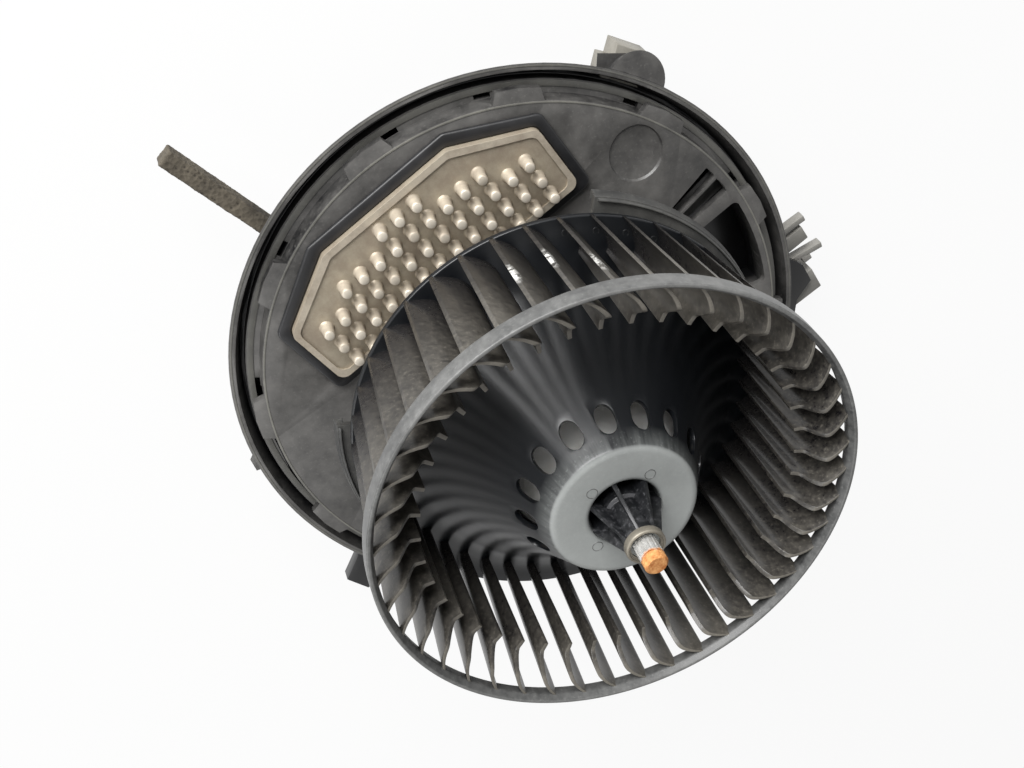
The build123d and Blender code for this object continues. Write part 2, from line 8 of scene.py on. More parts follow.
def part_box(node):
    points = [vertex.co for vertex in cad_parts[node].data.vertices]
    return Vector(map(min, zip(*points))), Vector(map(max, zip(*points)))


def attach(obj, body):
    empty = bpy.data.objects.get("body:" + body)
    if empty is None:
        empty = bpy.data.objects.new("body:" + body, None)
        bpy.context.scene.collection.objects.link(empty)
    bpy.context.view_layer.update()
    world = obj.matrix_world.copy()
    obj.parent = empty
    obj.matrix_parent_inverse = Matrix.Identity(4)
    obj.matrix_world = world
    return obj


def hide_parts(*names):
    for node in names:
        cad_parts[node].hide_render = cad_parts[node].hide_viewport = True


bl_info = {
    "name": "Cabin Blower Dresser",
    "version": (1, 0, 0),
    "blender": (4, 5, 0),
    "location": "3D View > Sidebar > Blower",
    "description": "Finishes the packed cabin blower: wheel, heatsink, gasket, foam, flange, plug, studio",
    "category": "Object",
}

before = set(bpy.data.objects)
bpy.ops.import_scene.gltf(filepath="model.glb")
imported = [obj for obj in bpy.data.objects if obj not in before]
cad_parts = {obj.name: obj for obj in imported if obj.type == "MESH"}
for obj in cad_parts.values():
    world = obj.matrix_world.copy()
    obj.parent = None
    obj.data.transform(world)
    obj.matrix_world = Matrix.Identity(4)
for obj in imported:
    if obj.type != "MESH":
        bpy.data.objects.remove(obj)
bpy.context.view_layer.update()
MM = 0.001

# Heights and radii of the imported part, in millimetres
REST_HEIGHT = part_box("motor_carrier")[0].z / MM
WHEEL_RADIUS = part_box("fan_wheel")[1].x / MM
WHEEL_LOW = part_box("fan_wheel")[0].z / MM
SHAFT_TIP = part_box("motor_shaft")[1].z / MM
SHAFT_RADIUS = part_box("motor_shaft")[1].x / MM

# Sizes in millimetres and angles in degrees that were measured in the photograph
SINK_ANGLE = 107.2
SINK_FLOOR, SINK_PACKED_FLOOR = 7.4, 5.8
PIN_TIP = 12.3
LIP_RADIUS, LIP_WALL_FOOT = 98.0, 93.6
DISC_HEIGHT = 87.5
BLADE_FOOT, BLADE_HEAD, BLADE_INSET = 36.8, 89.7, 4.9
SLOT_INNER, SLOT_OUTER = 68.5, 85.2
DUCT_INNER, DUCT_OUTER, DUCT_FLOOR, DUCT_WALL = 52.0, 87.8, -14.0, 1.5
DUCT_START, DUCT_END = -9.0, 32.0

# How bright the studio's paper is by itself, and how much of that the lens sees. Shadows show in the rest
WHITE = (1.0, 1.0, 1.0, 1.0)
PAPER_GLOW, PAPER_SHARE = 1.04, 0.88


# The kinds of node that the finishes use most
MATH, VECTOR, SPLIT = "ShaderNodeMath", "ShaderNodeVectorMath", "ShaderNodeSeparateXYZ"
NOISE, RANGE, MIX, BUMP = "ShaderNodeTexNoise", "ShaderNodeMapRange", "ShaderNodeMix", "ShaderNodeBump"


def srgb(code):
    """Linear colour of a hex code written in sRGB."""
    channels = [int(code[i:i + 2], 16) / 255 for i in (1, 3, 5)]
    return tuple(c / 12.92 if c <= 0.04045 else ((c + 0.055) / 1.055) ** 2.4 for c in channels) + (1.0,)


def polar(radius, angle, height=0.0):
    """Point in metres from a radius and height in millimetres and an angle in degrees."""
    turn = math.radians(angle)
    return Vector((radius * math.cos(turn), radius * math.sin(turn), height)) * MM


def new_object(name, mesh):
    """Object at the origin that shows the mesh."""
    piece = bpy.data.objects.new(name, mesh)
    bpy.context.scene.collection.objects.link(piece)
    return piece


def mesh_from(name, verts, faces):
    """Mesh with its doubles merged and its normals turned outwards."""
    mesh = bpy.data.meshes.new(name)
    mesh.from_pydata(verts, [], faces)
    tidy = bmesh.new()
    tidy.from_mesh(mesh)
    bmesh.ops.remove_doubles(tidy, verts=tidy.verts, dist=1e-7)
    bmesh.ops.recalc_face_normals(tidy, faces=tidy.faces)
    tidy.to_mesh(mesh)
    tidy.free()
    return mesh


def shade(mesh, angle=35.0):
    """Smooth shading with sharp edges past the angle."""
    mesh.polygons.foreach_set("use_smooth", [True] * len(mesh.polygons))
    mesh.set_sharp_from_angle(angle=math.radians(angle))


def bevel(piece, width, segments=2, angle=35.0):
    """Bevel modifier that rounds the edges past the angle. Width is in millimetres."""
    modifier = piece.modifiers.new("Rounded edges", "BEVEL")
    modifier.width = width * MM
    modifier.segments = segments
    modifier.limit_method = "ANGLE"
    modifier.angle_limit = math.radians(angle)
    modifier.use_clamp_overlap = True
    modifier.miter_outer = "MITER_ARC"
    return modifier


def baked(piece):
    """Mesh of the piece with its modifiers applied."""
    bpy.context.view_layer.update()
    graph = bpy.context.evaluated_depsgraph_get()
    return bpy.data.meshes.new_from_object(piece.evaluated_get(graph))


def bake(piece):
    """Replaces the piece's mesh by its evaluated one and takes its modifiers off."""
    mesh = baked(piece)
    piece.modifiers.clear()
    piece.data = mesh
    return piece


def lathe(name, profile, segments):
    """Closed ring or disc turned about Z from a closed profile of radius and height in millimetres."""
    verts, faces = [], []
    count = len(profile)
    for step in range(segments):
        turn = 360 * step / segments
        verts += [polar(r, turn, z) for r, z in profile]
    for step in range(segments):
        a, b = step * count, (step + 1) % segments * count
        for k in range(count):
            n = (k + 1) % count
            faces.append((a + k, b + k, b + n, a + n))
    return mesh_from(name, verts, faces)


def rounded(corners, default=0.4, steps=4):
    """Closed profile with each corner (radius, height, rounding) turned into a short curve."""
    points = []
    count = len(corners)
    for i, corner in enumerate(corners):
        here = Vector(corner[:2])
        rounding = corner[2] if len(corner) > 2 else default
        before = Vector(corners[i - 1][:2]) - here
        after = Vector(corners[(i + 1) % count][:2]) - here
        reach = min(rounding, before.length * 0.45, after.length * 0.45)
        if reach < 0.02:
            points.append(tuple(here))
            continue
        start, end = here + before.normalized() * reach, here + after.normalized() * reach
        for k in range(steps + 1):
            t = k / steps
            points.append(tuple(start * (1 - t) ** 2 + here * 2 * t * (1 - t) + end * t ** 2))
    return points


def prism(name, rings):
    """Closed solid through rings of equally many points, capped at both ends."""
    count = len(rings[0])
    verts = [point for ring in rings for point in ring]
    faces = [tuple(range(count)), tuple(reversed(range(len(verts) - count, len(verts))))]
    for level in range(len(rings) - 1):
        a, b = level * count, (level + 1) * count
        for k in range(count):
            n = (k + 1) % count
            faces.append((a + k, a + n, b + n, b + k))
    return mesh_from(name, verts, faces)


def join_facets(piece):
    """Modifiers that join a CAD mesh's loose triangles and merge the flat ones."""
    weld = piece.modifiers.new("Join facets", "WELD")
    weld.merge_threshold = 0.002 * MM
    flat = piece.modifiers.new("Flatten facets", "DECIMATE")
    flat.decimate_type = "DISSOLVE"
    flat.angle_limit = math.radians(0.5)


def slab(name, corners, low, high):
    """Closed block that stands over an outline of radii and angles, between two heights."""
    return prism(name, [[polar(r, turn, z) for r, turn in corners] for z in (low, high)])


def sector(name, inner, outer, start, end, low, high):
    """Closed block between two radii, two angles and two heights."""
    turns = [start + (end - start) * k / 24 for k in range(25)]
    corners = [(outer, turn) for turn in turns] + [(inner, turn) for turn in reversed(turns)]
    return slab(name, corners, low, high)


def bar(name, middle, length, width, turn, low, high):
    """Closed straight block about a middle point in millimetres, turned from the X axis."""
    x, y = length / 2, width / 2
    ends = [(x, y), (-x, y), (-x, -y), (x, -y)]
    spin = Matrix.Rotation(math.radians(turn), 2)
    flat = [Vector(middle) + spin @ Vector(end) for end in ends]
    return prism(name, [[Vector((p.x, p.y, z)) * MM for p in flat] for z in (low, high)])


def cut_by(piece, meshes):
    """Cuts the meshes out of the piece."""
    cutter = new_object("cutter", joined("cutter", meshes))
    cut = piece.modifiers.new("Cut", "BOOLEAN")
    cut.operation = "DIFFERENCE"
    cut.solver = "EXACT"
    cut.object = cutter
    bake(piece)
    bpy.data.objects.remove(cutter)
    return piece


def dress(piece, material, body, angle=38.0):
    """Gives a finished piece its shading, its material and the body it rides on."""
    shade(piece.data, angle)
    piece.data.materials.clear()
    piece.data.materials.append(material)
    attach(piece, body)
    return piece


def joined(name, meshes):
    """One mesh that holds all of the given ones."""
    whole = bmesh.new()
    for mesh in meshes:
        whole.from_mesh(mesh)
    result = bpy.data.meshes.new(name)
    whole.to_mesh(result)
    whole.free()
    return result


def feed(tree, fed, inputs):
    """Gives a node's inputs their values or links. A node among them stands for its first output."""
    for key, value in inputs.items():
        if isinstance(value, bpy.types.Node):
            value = value.outputs[0]
        if isinstance(value, bpy.types.NodeSocket):
            tree.links.new(value, fed.inputs[key])
        else:
            fed.inputs[key].default_value = value


def add_node(tree, kind, inputs=None, **settings):
    """Adds a node with its settings and feeds its inputs."""
    made = tree.nodes.new(kind)
    for key, value in settings.items():
        setattr(made, key, value)
    feed(tree, made, inputs or {})
    return made


def repeat_tree():
    """Geometry Nodes tree that sets copies of one piece round the Z axis."""
    tree = bpy.data.node_groups.new("Repeat round the axis", "GeometryNodeTree")
    for label, kind in (("Piece", "NodeSocketObject"), ("Count", "NodeSocketInt"),
                        ("First angle", "NodeSocketFloat"), ("Finish", "NodeSocketMaterial")):
        tree.interface.new_socket(name=label, in_out="INPUT", socket_type=kind)
    tree.interface.new_socket(name="Geometry", in_out="OUTPUT", socket_type="NodeSocketGeometry")
    given = add_node(tree, "NodeGroupInput")
    source = add_node(tree, "GeometryNodeObjectInfo", {"Object": given.outputs["Piece"]})
    points = add_node(tree, "GeometryNodePoints", {"Count": given.outputs["Count"]})
    index = add_node(tree, "GeometryNodeInputIndex")
    share = add_node(tree, MATH, {0: index, 1: given.outputs["Count"]}, operation="DIVIDE")
    turn = add_node(tree, MATH, {0: share, 1: math.tau, 2: given.outputs["First angle"]},
                    operation="MULTIPLY_ADD")
    spin = add_node(tree, "ShaderNodeCombineXYZ", {"Z": turn})
    copies = add_node(tree, "GeometryNodeInstanceOnPoints", {
        "Points": points, "Instance": source.outputs["Geometry"], "Rotation": spin})
    real = add_node(tree, "GeometryNodeRealizeInstances", {0: copies})
    painted = add_node(tree, "GeometryNodeSetMaterial", {
        "Geometry": real, "Material": given.outputs["Finish"]})
    add_node(tree, "NodeGroupOutput", {0: painted})
    return tree


def scatter_tree():
    """Geometry Nodes tree that stands a piece on each vertex, with slightly uneven heights."""
    tree = bpy.data.node_groups.new("Stand on points", "GeometryNodeTree")
    tree.interface.new_socket(name="Geometry", in_out="INPUT", socket_type="NodeSocketGeometry")
    for label, kind in (("Piece", "NodeSocketObject"), ("Height spread", "NodeSocketFloat"),
                        ("Lean", "NodeSocketFloat"), ("Finish", "NodeSocketMaterial")):
        tree.interface.new_socket(name=label, in_out="INPUT", socket_type=kind)
    tree.interface.new_socket(name="Geometry", in_out="OUTPUT", socket_type="NodeSocketGeometry")
    given = add_node(tree, "NodeGroupInput")
    source = add_node(tree, "GeometryNodeObjectInfo", {"Object": given.outputs["Piece"]})
    low = add_node(tree, MATH, {0: 1.0, 1: given.outputs["Height spread"]}, operation="SUBTRACT")
    height = add_node(tree, "FunctionNodeRandomValue", {2: low, 3: 1.0, "Seed": 7}, data_type="FLOAT")
    stretch = add_node(tree, "ShaderNodeCombineXYZ", {"X": 1.0, "Y": 1.0, "Z": height.outputs[1]})
    back = add_node(tree, MATH, {0: given.outputs["Lean"], 1: -1.0}, operation="MULTIPLY")
    tilt = add_node(tree, "FunctionNodeRandomValue", {0: back, 1: given.outputs["Lean"], "Seed": 11},
                    data_type="FLOAT_VECTOR")
    copies = add_node(tree, "GeometryNodeInstanceOnPoints", {
        "Points": given.outputs["Geometry"], "Instance": source.outputs["Geometry"],
        "Rotation": tilt, "Scale": stretch})
    real = add_node(tree, "GeometryNodeRealizeInstances", {0: copies})
    painted = add_node(tree, "GeometryNodeSetMaterial", {
        "Geometry": real, "Material": given.outputs["Finish"]})
    add_node(tree, "NodeGroupOutput", {0: painted})
    return tree


def grown(name, tree, host_mesh, inputs):
    """Plain mesh that a Geometry Nodes tree makes on a host mesh from its named inputs."""
    host = new_object(name + "_host", host_mesh)
    modifier = host.modifiers.new("Build", "NODES")
    modifier.node_group = tree
    sockets = {s.name: s.identifier for s in tree.interface.items_tree
               if s.in_out == "INPUT" and s.socket_type != "NodeSocketGeometry"}
    for label, value in inputs.items():
        modifier[sockets[label]] = value
    mesh = baked(host)
    bpy.data.objects.remove(host)
    return mesh


def around(name, master, count, first_angle, material):
    """Copies of a master piece round the axis, as one mesh. The master is removed."""
    tree = bpy.data.node_groups.get("Repeat round the axis") or repeat_tree()
    mesh = grown(name, tree, bpy.data.meshes.new(name + "_host"), {
        "Piece": master, "Count": count, "First angle": math.radians(first_angle), "Finish": material})
    bpy.data.objects.remove(master)
    return mesh


def new_finish(name):
    """Empty node material with its shader, its output and the surface position to build on."""
    made = bpy.data.materials.new(name)
    made.use_nodes = True
    tree = made.node_tree
    tree.nodes.clear()
    shader = add_node(tree, "ShaderNodeBsdfPrincipled")
    add_node(tree, "ShaderNodeOutputMaterial", {"Surface": shader})
    place = add_node(tree, "ShaderNodeTexCoord").outputs["Object"]
    return made, tree, shader, place


def grain(size_mm):
    """Scale of a noise whose blotches are about the given size in millimetres."""
    return 0.5 / (size_mm * MM)


def near(tree, place, centre, reach, tall):
    """One at a point, falling to nothing at the reach, with the reach made taller along Z."""
    flat = add_node(tree, VECTOR, {0: place, 1: (1.0, 1.0, 1.0 / tall)}, operation="MULTIPLY")
    middle = Vector((centre.x, centre.y, centre.z / tall))
    away = add_node(tree, VECTOR, {0: flat, 1: middle}, operation="DISTANCE")
    return add_node(tree, RANGE, {0: away.outputs["Value"], 1: reach * MM, 2: reach * 0.4 * MM})


def down_the_cone(tree, place):
    """Coordinates that hardly change with height, so that a noise on them runs down a cone in streaks."""
    flat = add_node(tree, VECTOR, {0: place, 1: (1.0, 1.0, 0.0)}, operation="MULTIPLY")
    way = add_node(tree, VECTOR, {0: flat}, operation="NORMALIZE")
    wide = add_node(tree, VECTOR, {0: way, "Scale": 40 * MM}, operation="SCALE")
    short = add_node(tree, VECTOR, {0: place, 1: (0.08, 0.08, 0.16)}, operation="MULTIPLY")
    return add_node(tree, VECTOR, {0: wide, 1: short}, operation="ADD")


def dusty_plastic(name, base, dust, on_top, on_sides, roughness, clean_and_shaded_below, dusty_and_unshaded_above, mottle_mm,
                  streaked=False, scuffs=()):
    """Moulded polypropylene with dust that lies on upward faces and clings less to walls. Below a given height
    the dust fades to the dark base, partly clean plastic and partly painted shade in deep places.
    """
    made, tree, shader, place = new_finish(name)
    normal = add_node(tree, "ShaderNodeTexCoord").outputs["Normal"]
    facing, level = [add_node(tree, SPLIT, {0: vector}).outputs["Z"] for vector in (normal, place)]
    upward = add_node(tree, RANGE, {0: facing, 1: 0.55, 2: 0.92})
    # Height ramp: the dust fades out downwards, so the dark base stands partly for clean plastic and partly for
    # painted shade in grooves, pockets, the duct and the hub's recess
    height = add_node(tree, RANGE, {0: level, 1: clean_and_shaded_below * MM, 2: dusty_and_unshaded_above * MM})
    clouds, mottle, dots, rags, waves = [
        add_node(tree, NOISE, {"Vector": place, "Scale": grain(size), "Detail": detail, "Roughness": rough})
        for size, detail, rough in ((25.0, 3.0, 0.5), (mottle_mm, 4.0, 0.65), (0.5, 2.0, 0.5),
                                    (0.8, 5.0, 0.75), (20.0, 1.0, 0.4))]
    if streaked:
        walls = add_node(tree, MATH, {0: 1.0, 1: upward}, operation="SUBTRACT")
        streaks = add_node(tree, NOISE, {"Vector": down_the_cone(tree, place), "Scale": grain(mottle_mm),
                                         "Detail": 4.0, "Roughness": 0.65})
        flatter = add_node(tree, MATH, {0: mottle, 1: 0.25, 2: 0.40}, operation="MULTIPLY_ADD")
        apart = add_node(tree, MATH, {0: streaks, 1: flatter}, operation="SUBTRACT")
        mottle = add_node(tree, MATH, {0: apart, 1: walls, 2: flatter}, operation="MULTIPLY_ADD")
    lying = add_node(tree, MATH, {0: upward, 1: on_top - on_sides, 2: on_sides}, operation="MULTIPLY_ADD")
    uneven = add_node(tree, MATH, {0: mottle, 1: 0.7, 2: -0.80}, operation="MULTIPLY_ADD")
    patchy = add_node(tree, MATH, {0: clouds, 1: 0.9, 2: uneven}, operation="MULTIPLY_ADD")
    film = add_node(tree, MATH, {0: lying, 1: patchy}, operation="ADD", use_clamp=True)
    # Dust amount after the height ramp, so it also carries the painted shade of deep places
    dust_under_painted_shade = add_node(tree, MATH, {0: film, 1: height}, operation="MULTIPLY", use_clamp=True)
    skin = add_node(tree, MIX, {0: dust_under_painted_shade, 6: srgb(base), 7: srgb(dust)}, data_type="RGBA").outputs[2]
    specks = add_node(tree, RANGE, {0: dots, 1: 0.60, 2: 0.72})
    faint = add_node(tree, MATH, {0: height, 1: 0.25}, operation="MULTIPLY")
    grit = add_node(tree, MATH, {0: specks, 1: faint}, operation="MULTIPLY")
    skin = add_node(tree, MIX, {0: grit, 6: skin, 7: srgb(dust)}, data_type="RGBA").outputs[2]
    torn = add_node(tree, RANGE, {0: rags, 1: 0.44, 2: 0.54})
    for centre in scuffs:
        scraped = add_node(tree, MATH, {0: near(tree, place, centre, 1.9, 4.0), 1: torn},
                           operation="MULTIPLY")
        skin = add_node(tree, MIX, {0: scraped, 6: skin, 7: srgb("#c4c3bf")}, data_type="RGBA").outputs[2]
    dull = add_node(tree, RANGE, {0: dust_under_painted_shade, 3: roughness, 4: roughness + 0.28})
    soft = add_node(tree, BUMP, {"Strength": 0.2, "Distance": 0.5 * MM, "Height": waves})
    fine = add_node(tree, BUMP, {"Strength": 0.3, "Distance": 0.07 * MM, "Height": mottle, "Normal": soft})
    feed(tree, shader, {"Base Color": skin, "IOR": 1.49, "Roughness": dull, "Normal": fine})
    return made


def worn_metal(name, base, stain, stain_low, stain_high, roughness, metallic=1.0, pit_mm=0.5, pit=0.04):
    """Bare metal with a stained skin and small pits."""
    made, tree, shader, place = new_finish(name)
    clouds, pits = [
        add_node(tree, NOISE, {"Vector": place, "Scale": grain(size), "Detail": detail, "Roughness": rough})
        for size, detail, rough in ((5.0, 6.0, 0.62), (pit_mm, 3.0, 0.55))]
    mask = add_node(tree, RANGE, {0: clouds, 1: stain_low, 2: stain_high})
    skin = add_node(tree, MIX, {0: mask, 6: srgb(base), 7: srgb(stain)}, data_type="RGBA").outputs[2]
    dull = add_node(tree, RANGE, {0: clouds, 3: roughness - 0.06, 4: roughness + 0.16})
    bump = add_node(tree, BUMP, {"Strength": 0.4, "Distance": pit * MM, "Height": pits})
    feed(tree, shader, {"Base Color": skin, "Metallic": metallic, "Roughness": dull, "Normal": bump})
    return made


def plain_plastic(name, base, tint, roughness):
    """Small moulded or sintered part with slight colour clouds and a fine grain."""
    made, tree, shader, place = new_finish(name)
    clouds, dots = [
        add_node(tree, NOISE, {"Vector": place, "Scale": grain(size), "Detail": 4.0, "Roughness": 0.55})
        for size in (6.0, 0.6)]
    mask = add_node(tree, RANGE, {0: clouds, 1: 0.35, 2: 0.75})
    skin = add_node(tree, MIX, {0: mask, 6: srgb(base), 7: srgb(tint)}, data_type="RGBA").outputs[2]
    bump = add_node(tree, BUMP, {"Strength": 0.3, "Distance": 0.05 * MM, "Height": dots})
    feed(tree, shader, {"Base Color": skin, "Roughness": roughness, "IOR": 1.5, "Normal": bump})
    return made


def flange_plastic():
    """Talc-filled polypropylene, grey with dust on its upward faces, and painted black as shade in groove,
    pockets and duct, where everything below the plate fades to the bare black base.
    """
    return dusty_plastic("talc_polypropylene_flange", "#131314", "#757370", on_top=0.46, on_sides=0.24,
                         roughness=0.30, clean_and_shaded_below=-6.5, dusty_and_unshaded_above=-2.0, mottle_mm=3.0)


def edge_plastic_with_highlight():
    """The same plastic on the flange's beads, a lighter satin grey that is partly rubbed wear and partly
    painted highlight along the flange's edges.
    """
    return dusty_plastic("talc_polypropylene_edge_highlight", "#3a3a39", "#8a8880", on_top=0.50, on_sides=0.30,
                         roughness=0.32, clean_and_shaded_below=-9.0, dusty_and_unshaded_above=4.0, mottle_mm=3.0)


def carrier_plastic():
    """The same plastic on the motor carrier, cleaner and darker because the wheel covers it."""
    return dusty_plastic("talc_polypropylene_carrier", "#141517", "#64635f", on_top=0.42, on_sides=0.22,
                         roughness=0.42, clean_and_shaded_below=-40.0, dusty_and_unshaded_above=-30.0, mottle_mm=4.0)


def hub_plastic():
    """Glass-filled polypropylene of the hub, grey with dust on its disc and blue-black down its cone, and kept
    at its dark base below the disc, which paints shade into the recess round the boss.
    """
    return dusty_plastic("glass_filled_polypropylene_hub", "#0e1013", "#a0a3a1", on_top=0.86, on_sides=0.30,
                         roughness=0.30, clean_and_shaded_below=81.0, dusty_and_unshaded_above=87.6, mottle_mm=1.2, streaked=True)


def boss_plastic():
    """The same plastic on the boss and its gussets, nearly clean on their steep sides and darker lower down,
    which stands partly for clean plastic and partly for painted shade in the hub's recess.
    """
    return dusty_plastic("glass_filled_polypropylene_boss", "#121315", "#77777a", on_top=0.55, on_sides=0.06,
                         roughness=0.36, clean_and_shaded_below=60.0, dusty_and_unshaded_above=98.0, mottle_mm=1.0)


def rim_plastic():
    """The same plastic on the rim ring, rubbed to an even grey."""
    return dusty_plastic("glass_filled_polypropylene_rim", "#1c1d1e", "#8a8a88", on_top=0.50, on_sides=0.30,
                         roughness=0.32, clean_and_shaded_below=70.0, dusty_and_unshaded_above=91.0, mottle_mm=1.4)


def blade_plastic():
    """The same plastic on the blades, with dust that thickens towards the intake and three pale scuffs."""
    return dusty_plastic("glass_filled_polypropylene_blades", "#141315", "#827d73", on_top=0.62,
                         on_sides=0.27, roughness=0.26, clean_and_shaded_below=34.0, dusty_and_unshaded_above=90.0, mottle_mm=1.0,
                         scuffs=(polar(71, 91.2, 62), polar(71, 82.7, 61), polar(71, 74.2, 71)))


def cast_aluminium():
    """Die-cast aluminium with brown stains, darker on its floor than on its raised walls, and pale on its pin
    tops, partly worn metal and partly painted highlight.
    """
    made, tree, shader, place = new_finish("die_cast_aluminium")
    height = add_node(tree, SPLIT, {0: place}).outputs["Z"]
    stain, pits = [
        add_node(tree, NOISE, {"Vector": place, "Scale": grain(size), "Detail": detail, "Roughness": rough})
        for size, detail, rough in ((3.0, 6.0, 0.65), (0.7, 3.0, 0.55))]
    uneven = add_node(tree, MATH, {0: stain, 1: 1.2 * MM, 2: height}, operation="MULTIPLY_ADD")
    raised = add_node(tree, RANGE, {0: uneven, 1: (SINK_FLOOR + 0.7) * MM, 2: (SINK_FLOOR + 1.1) * MM})
    # Pale pin tops: partly worn metal, partly painted highlight where light falls on their flat ends
    tip = add_node(tree, RANGE, {0: height, 1: (PIN_TIP - 0.35) * MM, 2: (PIN_TIP - 0.1) * MM})
    brown = add_node(tree, RANGE, {0: stain, 1: 0.35, 2: 0.7})
    floor, wall = [
        add_node(tree, MIX, {0: brown, 6: srgb(clean), 7: srgb(stained)}, data_type="RGBA").outputs[2]
        for clean, stained in (("#a89e8c", "#85796a"), ("#bfb5a4", "#978c7d"))]
    body = add_node(tree, MIX, {0: raised, 6: floor, 7: wall}, data_type="RGBA").outputs[2]
    skin = add_node(tree, MIX, {0: tip, 6: body, 7: srgb("#d3cabb")}, data_type="RGBA").outputs[2]
    dull = add_node(tree, RANGE, {0: stain, 1: 0.3, 2: 0.7, 3: 0.42, 4: 0.62})
    bump = add_node(tree, BUMP, {"Strength": 0.4, "Distance": 0.08 * MM, "Height": pits})
    feed(tree, shader, {"Base Color": skin, "Metallic": 0.35, "Roughness": dull, "Normal": bump})
    return made


# Bare metals. Base colour, stain colour, where the stain starts and ends, roughness, and then how metallic
# it is, the width of its pits and their depth in millimetres
METALS = {
    # Zinc-plated sheet steel, dull and slightly yellow, set near white and barely metallic so that its colour
    # paints the silver sheen the steel keeps in the shade inside the hub
    "zinc_plated_steel_painted_sheen": ("#f6f5f2", "#dcd9d0", 0.45, 0.8, 0.35, 0.1),
    # Phosphated spring steel of the clamp ring, grey-beige and matt
    "phosphated_ring": ("#8c867a", "#57534a", 0.4, 0.75, 0.5, 0.6),
    # Copper of the windings and the commutator under its brown enamel
    "enamelled_copper": ("#b8633a", "#8c4526", 0.4, 0.8, 0.32),
    # Sintered bronze of the bearings, dark with oil
    "sintered_bronze": ("#9a7a48", "#6d5430", 0.4, 0.8, 0.5, 1.0, 0.3, 0.05),
    # Tinned brass of the plug pins, pale and fairly bright
    "tinned_brass": ("#cbbf94", "#a59a72", 0.4, 0.8, 0.28),
    # Stacked electrical steel sheet, plain grey
    "electrical_sheet_steel": ("#8b8b8f", "#5c5a58", 0.4, 0.8, 0.4),
}


def rusty_shaft():
    """Ground steel shaft, bright on its flutes, with orange rust that has crept down from its tip."""
    made, tree, shader, place = new_finish("ground_steel_shaft")
    height = add_node(tree, SPLIT, {0: place}).outputs["Z"]
    creep, scale, ground, pits = [
        add_node(tree, NOISE, {"Vector": place, "Scale": grain(size), "Detail": detail, "Roughness": rough})
        for size, detail, rough in ((1.6, 5.0, 0.7), (0.9, 6.0, 0.7), (2.0, 4.0, 0.55), (0.5, 4.0, 0.7))]
    ragged = add_node(tree, MATH, {0: creep, 1: 3.2 * MM, 2: height}, operation="MULTIPLY_ADD")
    tip = add_node(tree, RANGE, {0: ragged, 1: (SHAFT_TIP - 2.6) * MM, 2: (SHAFT_TIP - 1.6) * MM})
    flaked = add_node(tree, RANGE, {0: scale, 1: 0.38, 2: 0.66})
    greyed = add_node(tree, RANGE, {0: ground, 1: 0.4, 2: 0.7})
    rust, steel = [
        add_node(tree, MIX, {0: mask, 6: srgb(first), 7: srgb(second)}, data_type="RGBA").outputs[2]
        for mask, first, second in ((flaked, "#a5612c", "#dba468"), (greyed, "#e4e4e2", "#b4b1ab"))]
    skin = add_node(tree, MIX, {0: tip, 6: steel, 7: rust}, data_type="RGBA").outputs[2]
    bare = add_node(tree, MATH, {0: tip, 1: -0.6, 2: 0.6}, operation="MULTIPLY_ADD")
    dull = add_node(tree, RANGE, {0: tip, 3: 0.26, 4: 0.85})
    bump = add_node(tree, BUMP, {"Strength": 0.6, "Distance": 0.12 * MM, "Height": pits})
    feed(tree, shader, {"Base Color": skin, "Metallic": bare, "Roughness": dull, "Normal": bump})
    return made


# Moulded, pressed and lacquered parts. Base colour, colour of the clouds in it, roughness
PLASTICS = {
    # Black EPDM, matt with a faint bloom
    "epdm_rubber": ("#141415", "#29292b", 0.42),
    # Pressed and fired ferrite, charcoal and matt
    "sintered_ferrite": ("#2b2b2d", "#3b3a3a", 0.6),
    # Undyed nylon, cream and waxy
    "natural_nylon": ("#d8d2c0", "#c4bda8", 0.45),
    # Paper-based phenolic board, brown
    "phenolic_card": ("#4a3d2e", "#5c4c3a", 0.5),
    # Pressed electrographite, black and dusty
    "electrographite": ("#1b1b1c", "#2a2a2b", 0.7),
    # Glass-fibre board under green lacquer, fairly glossy
    "glass_fibre_board": ("#1f5a34", "#2a6b40", 0.35),
    # Epoxy moulding compound, black and satin
    "epoxy_package": ("#19191b", "#262628", 0.5),
    # Shrink sleeve, dark blue and glossy
    "shrink_sleeve": ("#20242e", "#2c3140", 0.3),
    # Copper winding under thick brown lacquer
    "lacquered_winding": ("#7a4a28", "#935d36", 0.4),
    # Glass-filled polyamide of the plug, mid grey
    "polyamide_plug": ("#8d8b86", "#75736d", 0.4),
    # The same of the block behind the ear, duller
    "pale_polyamide": ("#86837b", "#6f6b63", 0.5),
}


def open_cell_foam():
    """Open-cell polyurethane foam, brown-grey and crumbly, with cells about a millimetre wide, each painted
    darker in its hollow as shade.
    """
    made, tree, shader, place = new_finish("open_cell_foam")
    cells = add_node(tree, "ShaderNodeTexVoronoi", {"Vector": place, "Scale": 0.8 / (1.1 * MM)}, feature="F1")
    dirt = add_node(tree, NOISE, {"Vector": place, "Scale": grain(5.0), "Detail": 5.0, "Roughness": 0.65})
    pale = add_node(tree, RANGE, {0: dirt, 1: 0.35, 2: 0.7})
    wall = add_node(tree, MIX, {0: pale, 6: srgb("#3a352d"), 7: srgb("#5f584c")}, data_type="RGBA").outputs[2]
    # Darker towards the middle of each cell: painted shade in the cell's hollow
    pore_shade = add_node(tree, RANGE, {0: cells, 1: 0.05, 2: 0.35})
    skin = add_node(tree, MIX, {0: pore_shade, 6: srgb("#2f2a24"), 7: wall}, data_type="RGBA").outputs[2]
    bump = add_node(tree, BUMP, {"Strength": 0.7, "Distance": 0.35 * MM, "Height": cells})
    feed(tree, shader, {"Base Color": skin, "Roughness": 0.95, "Normal": bump})
    return made


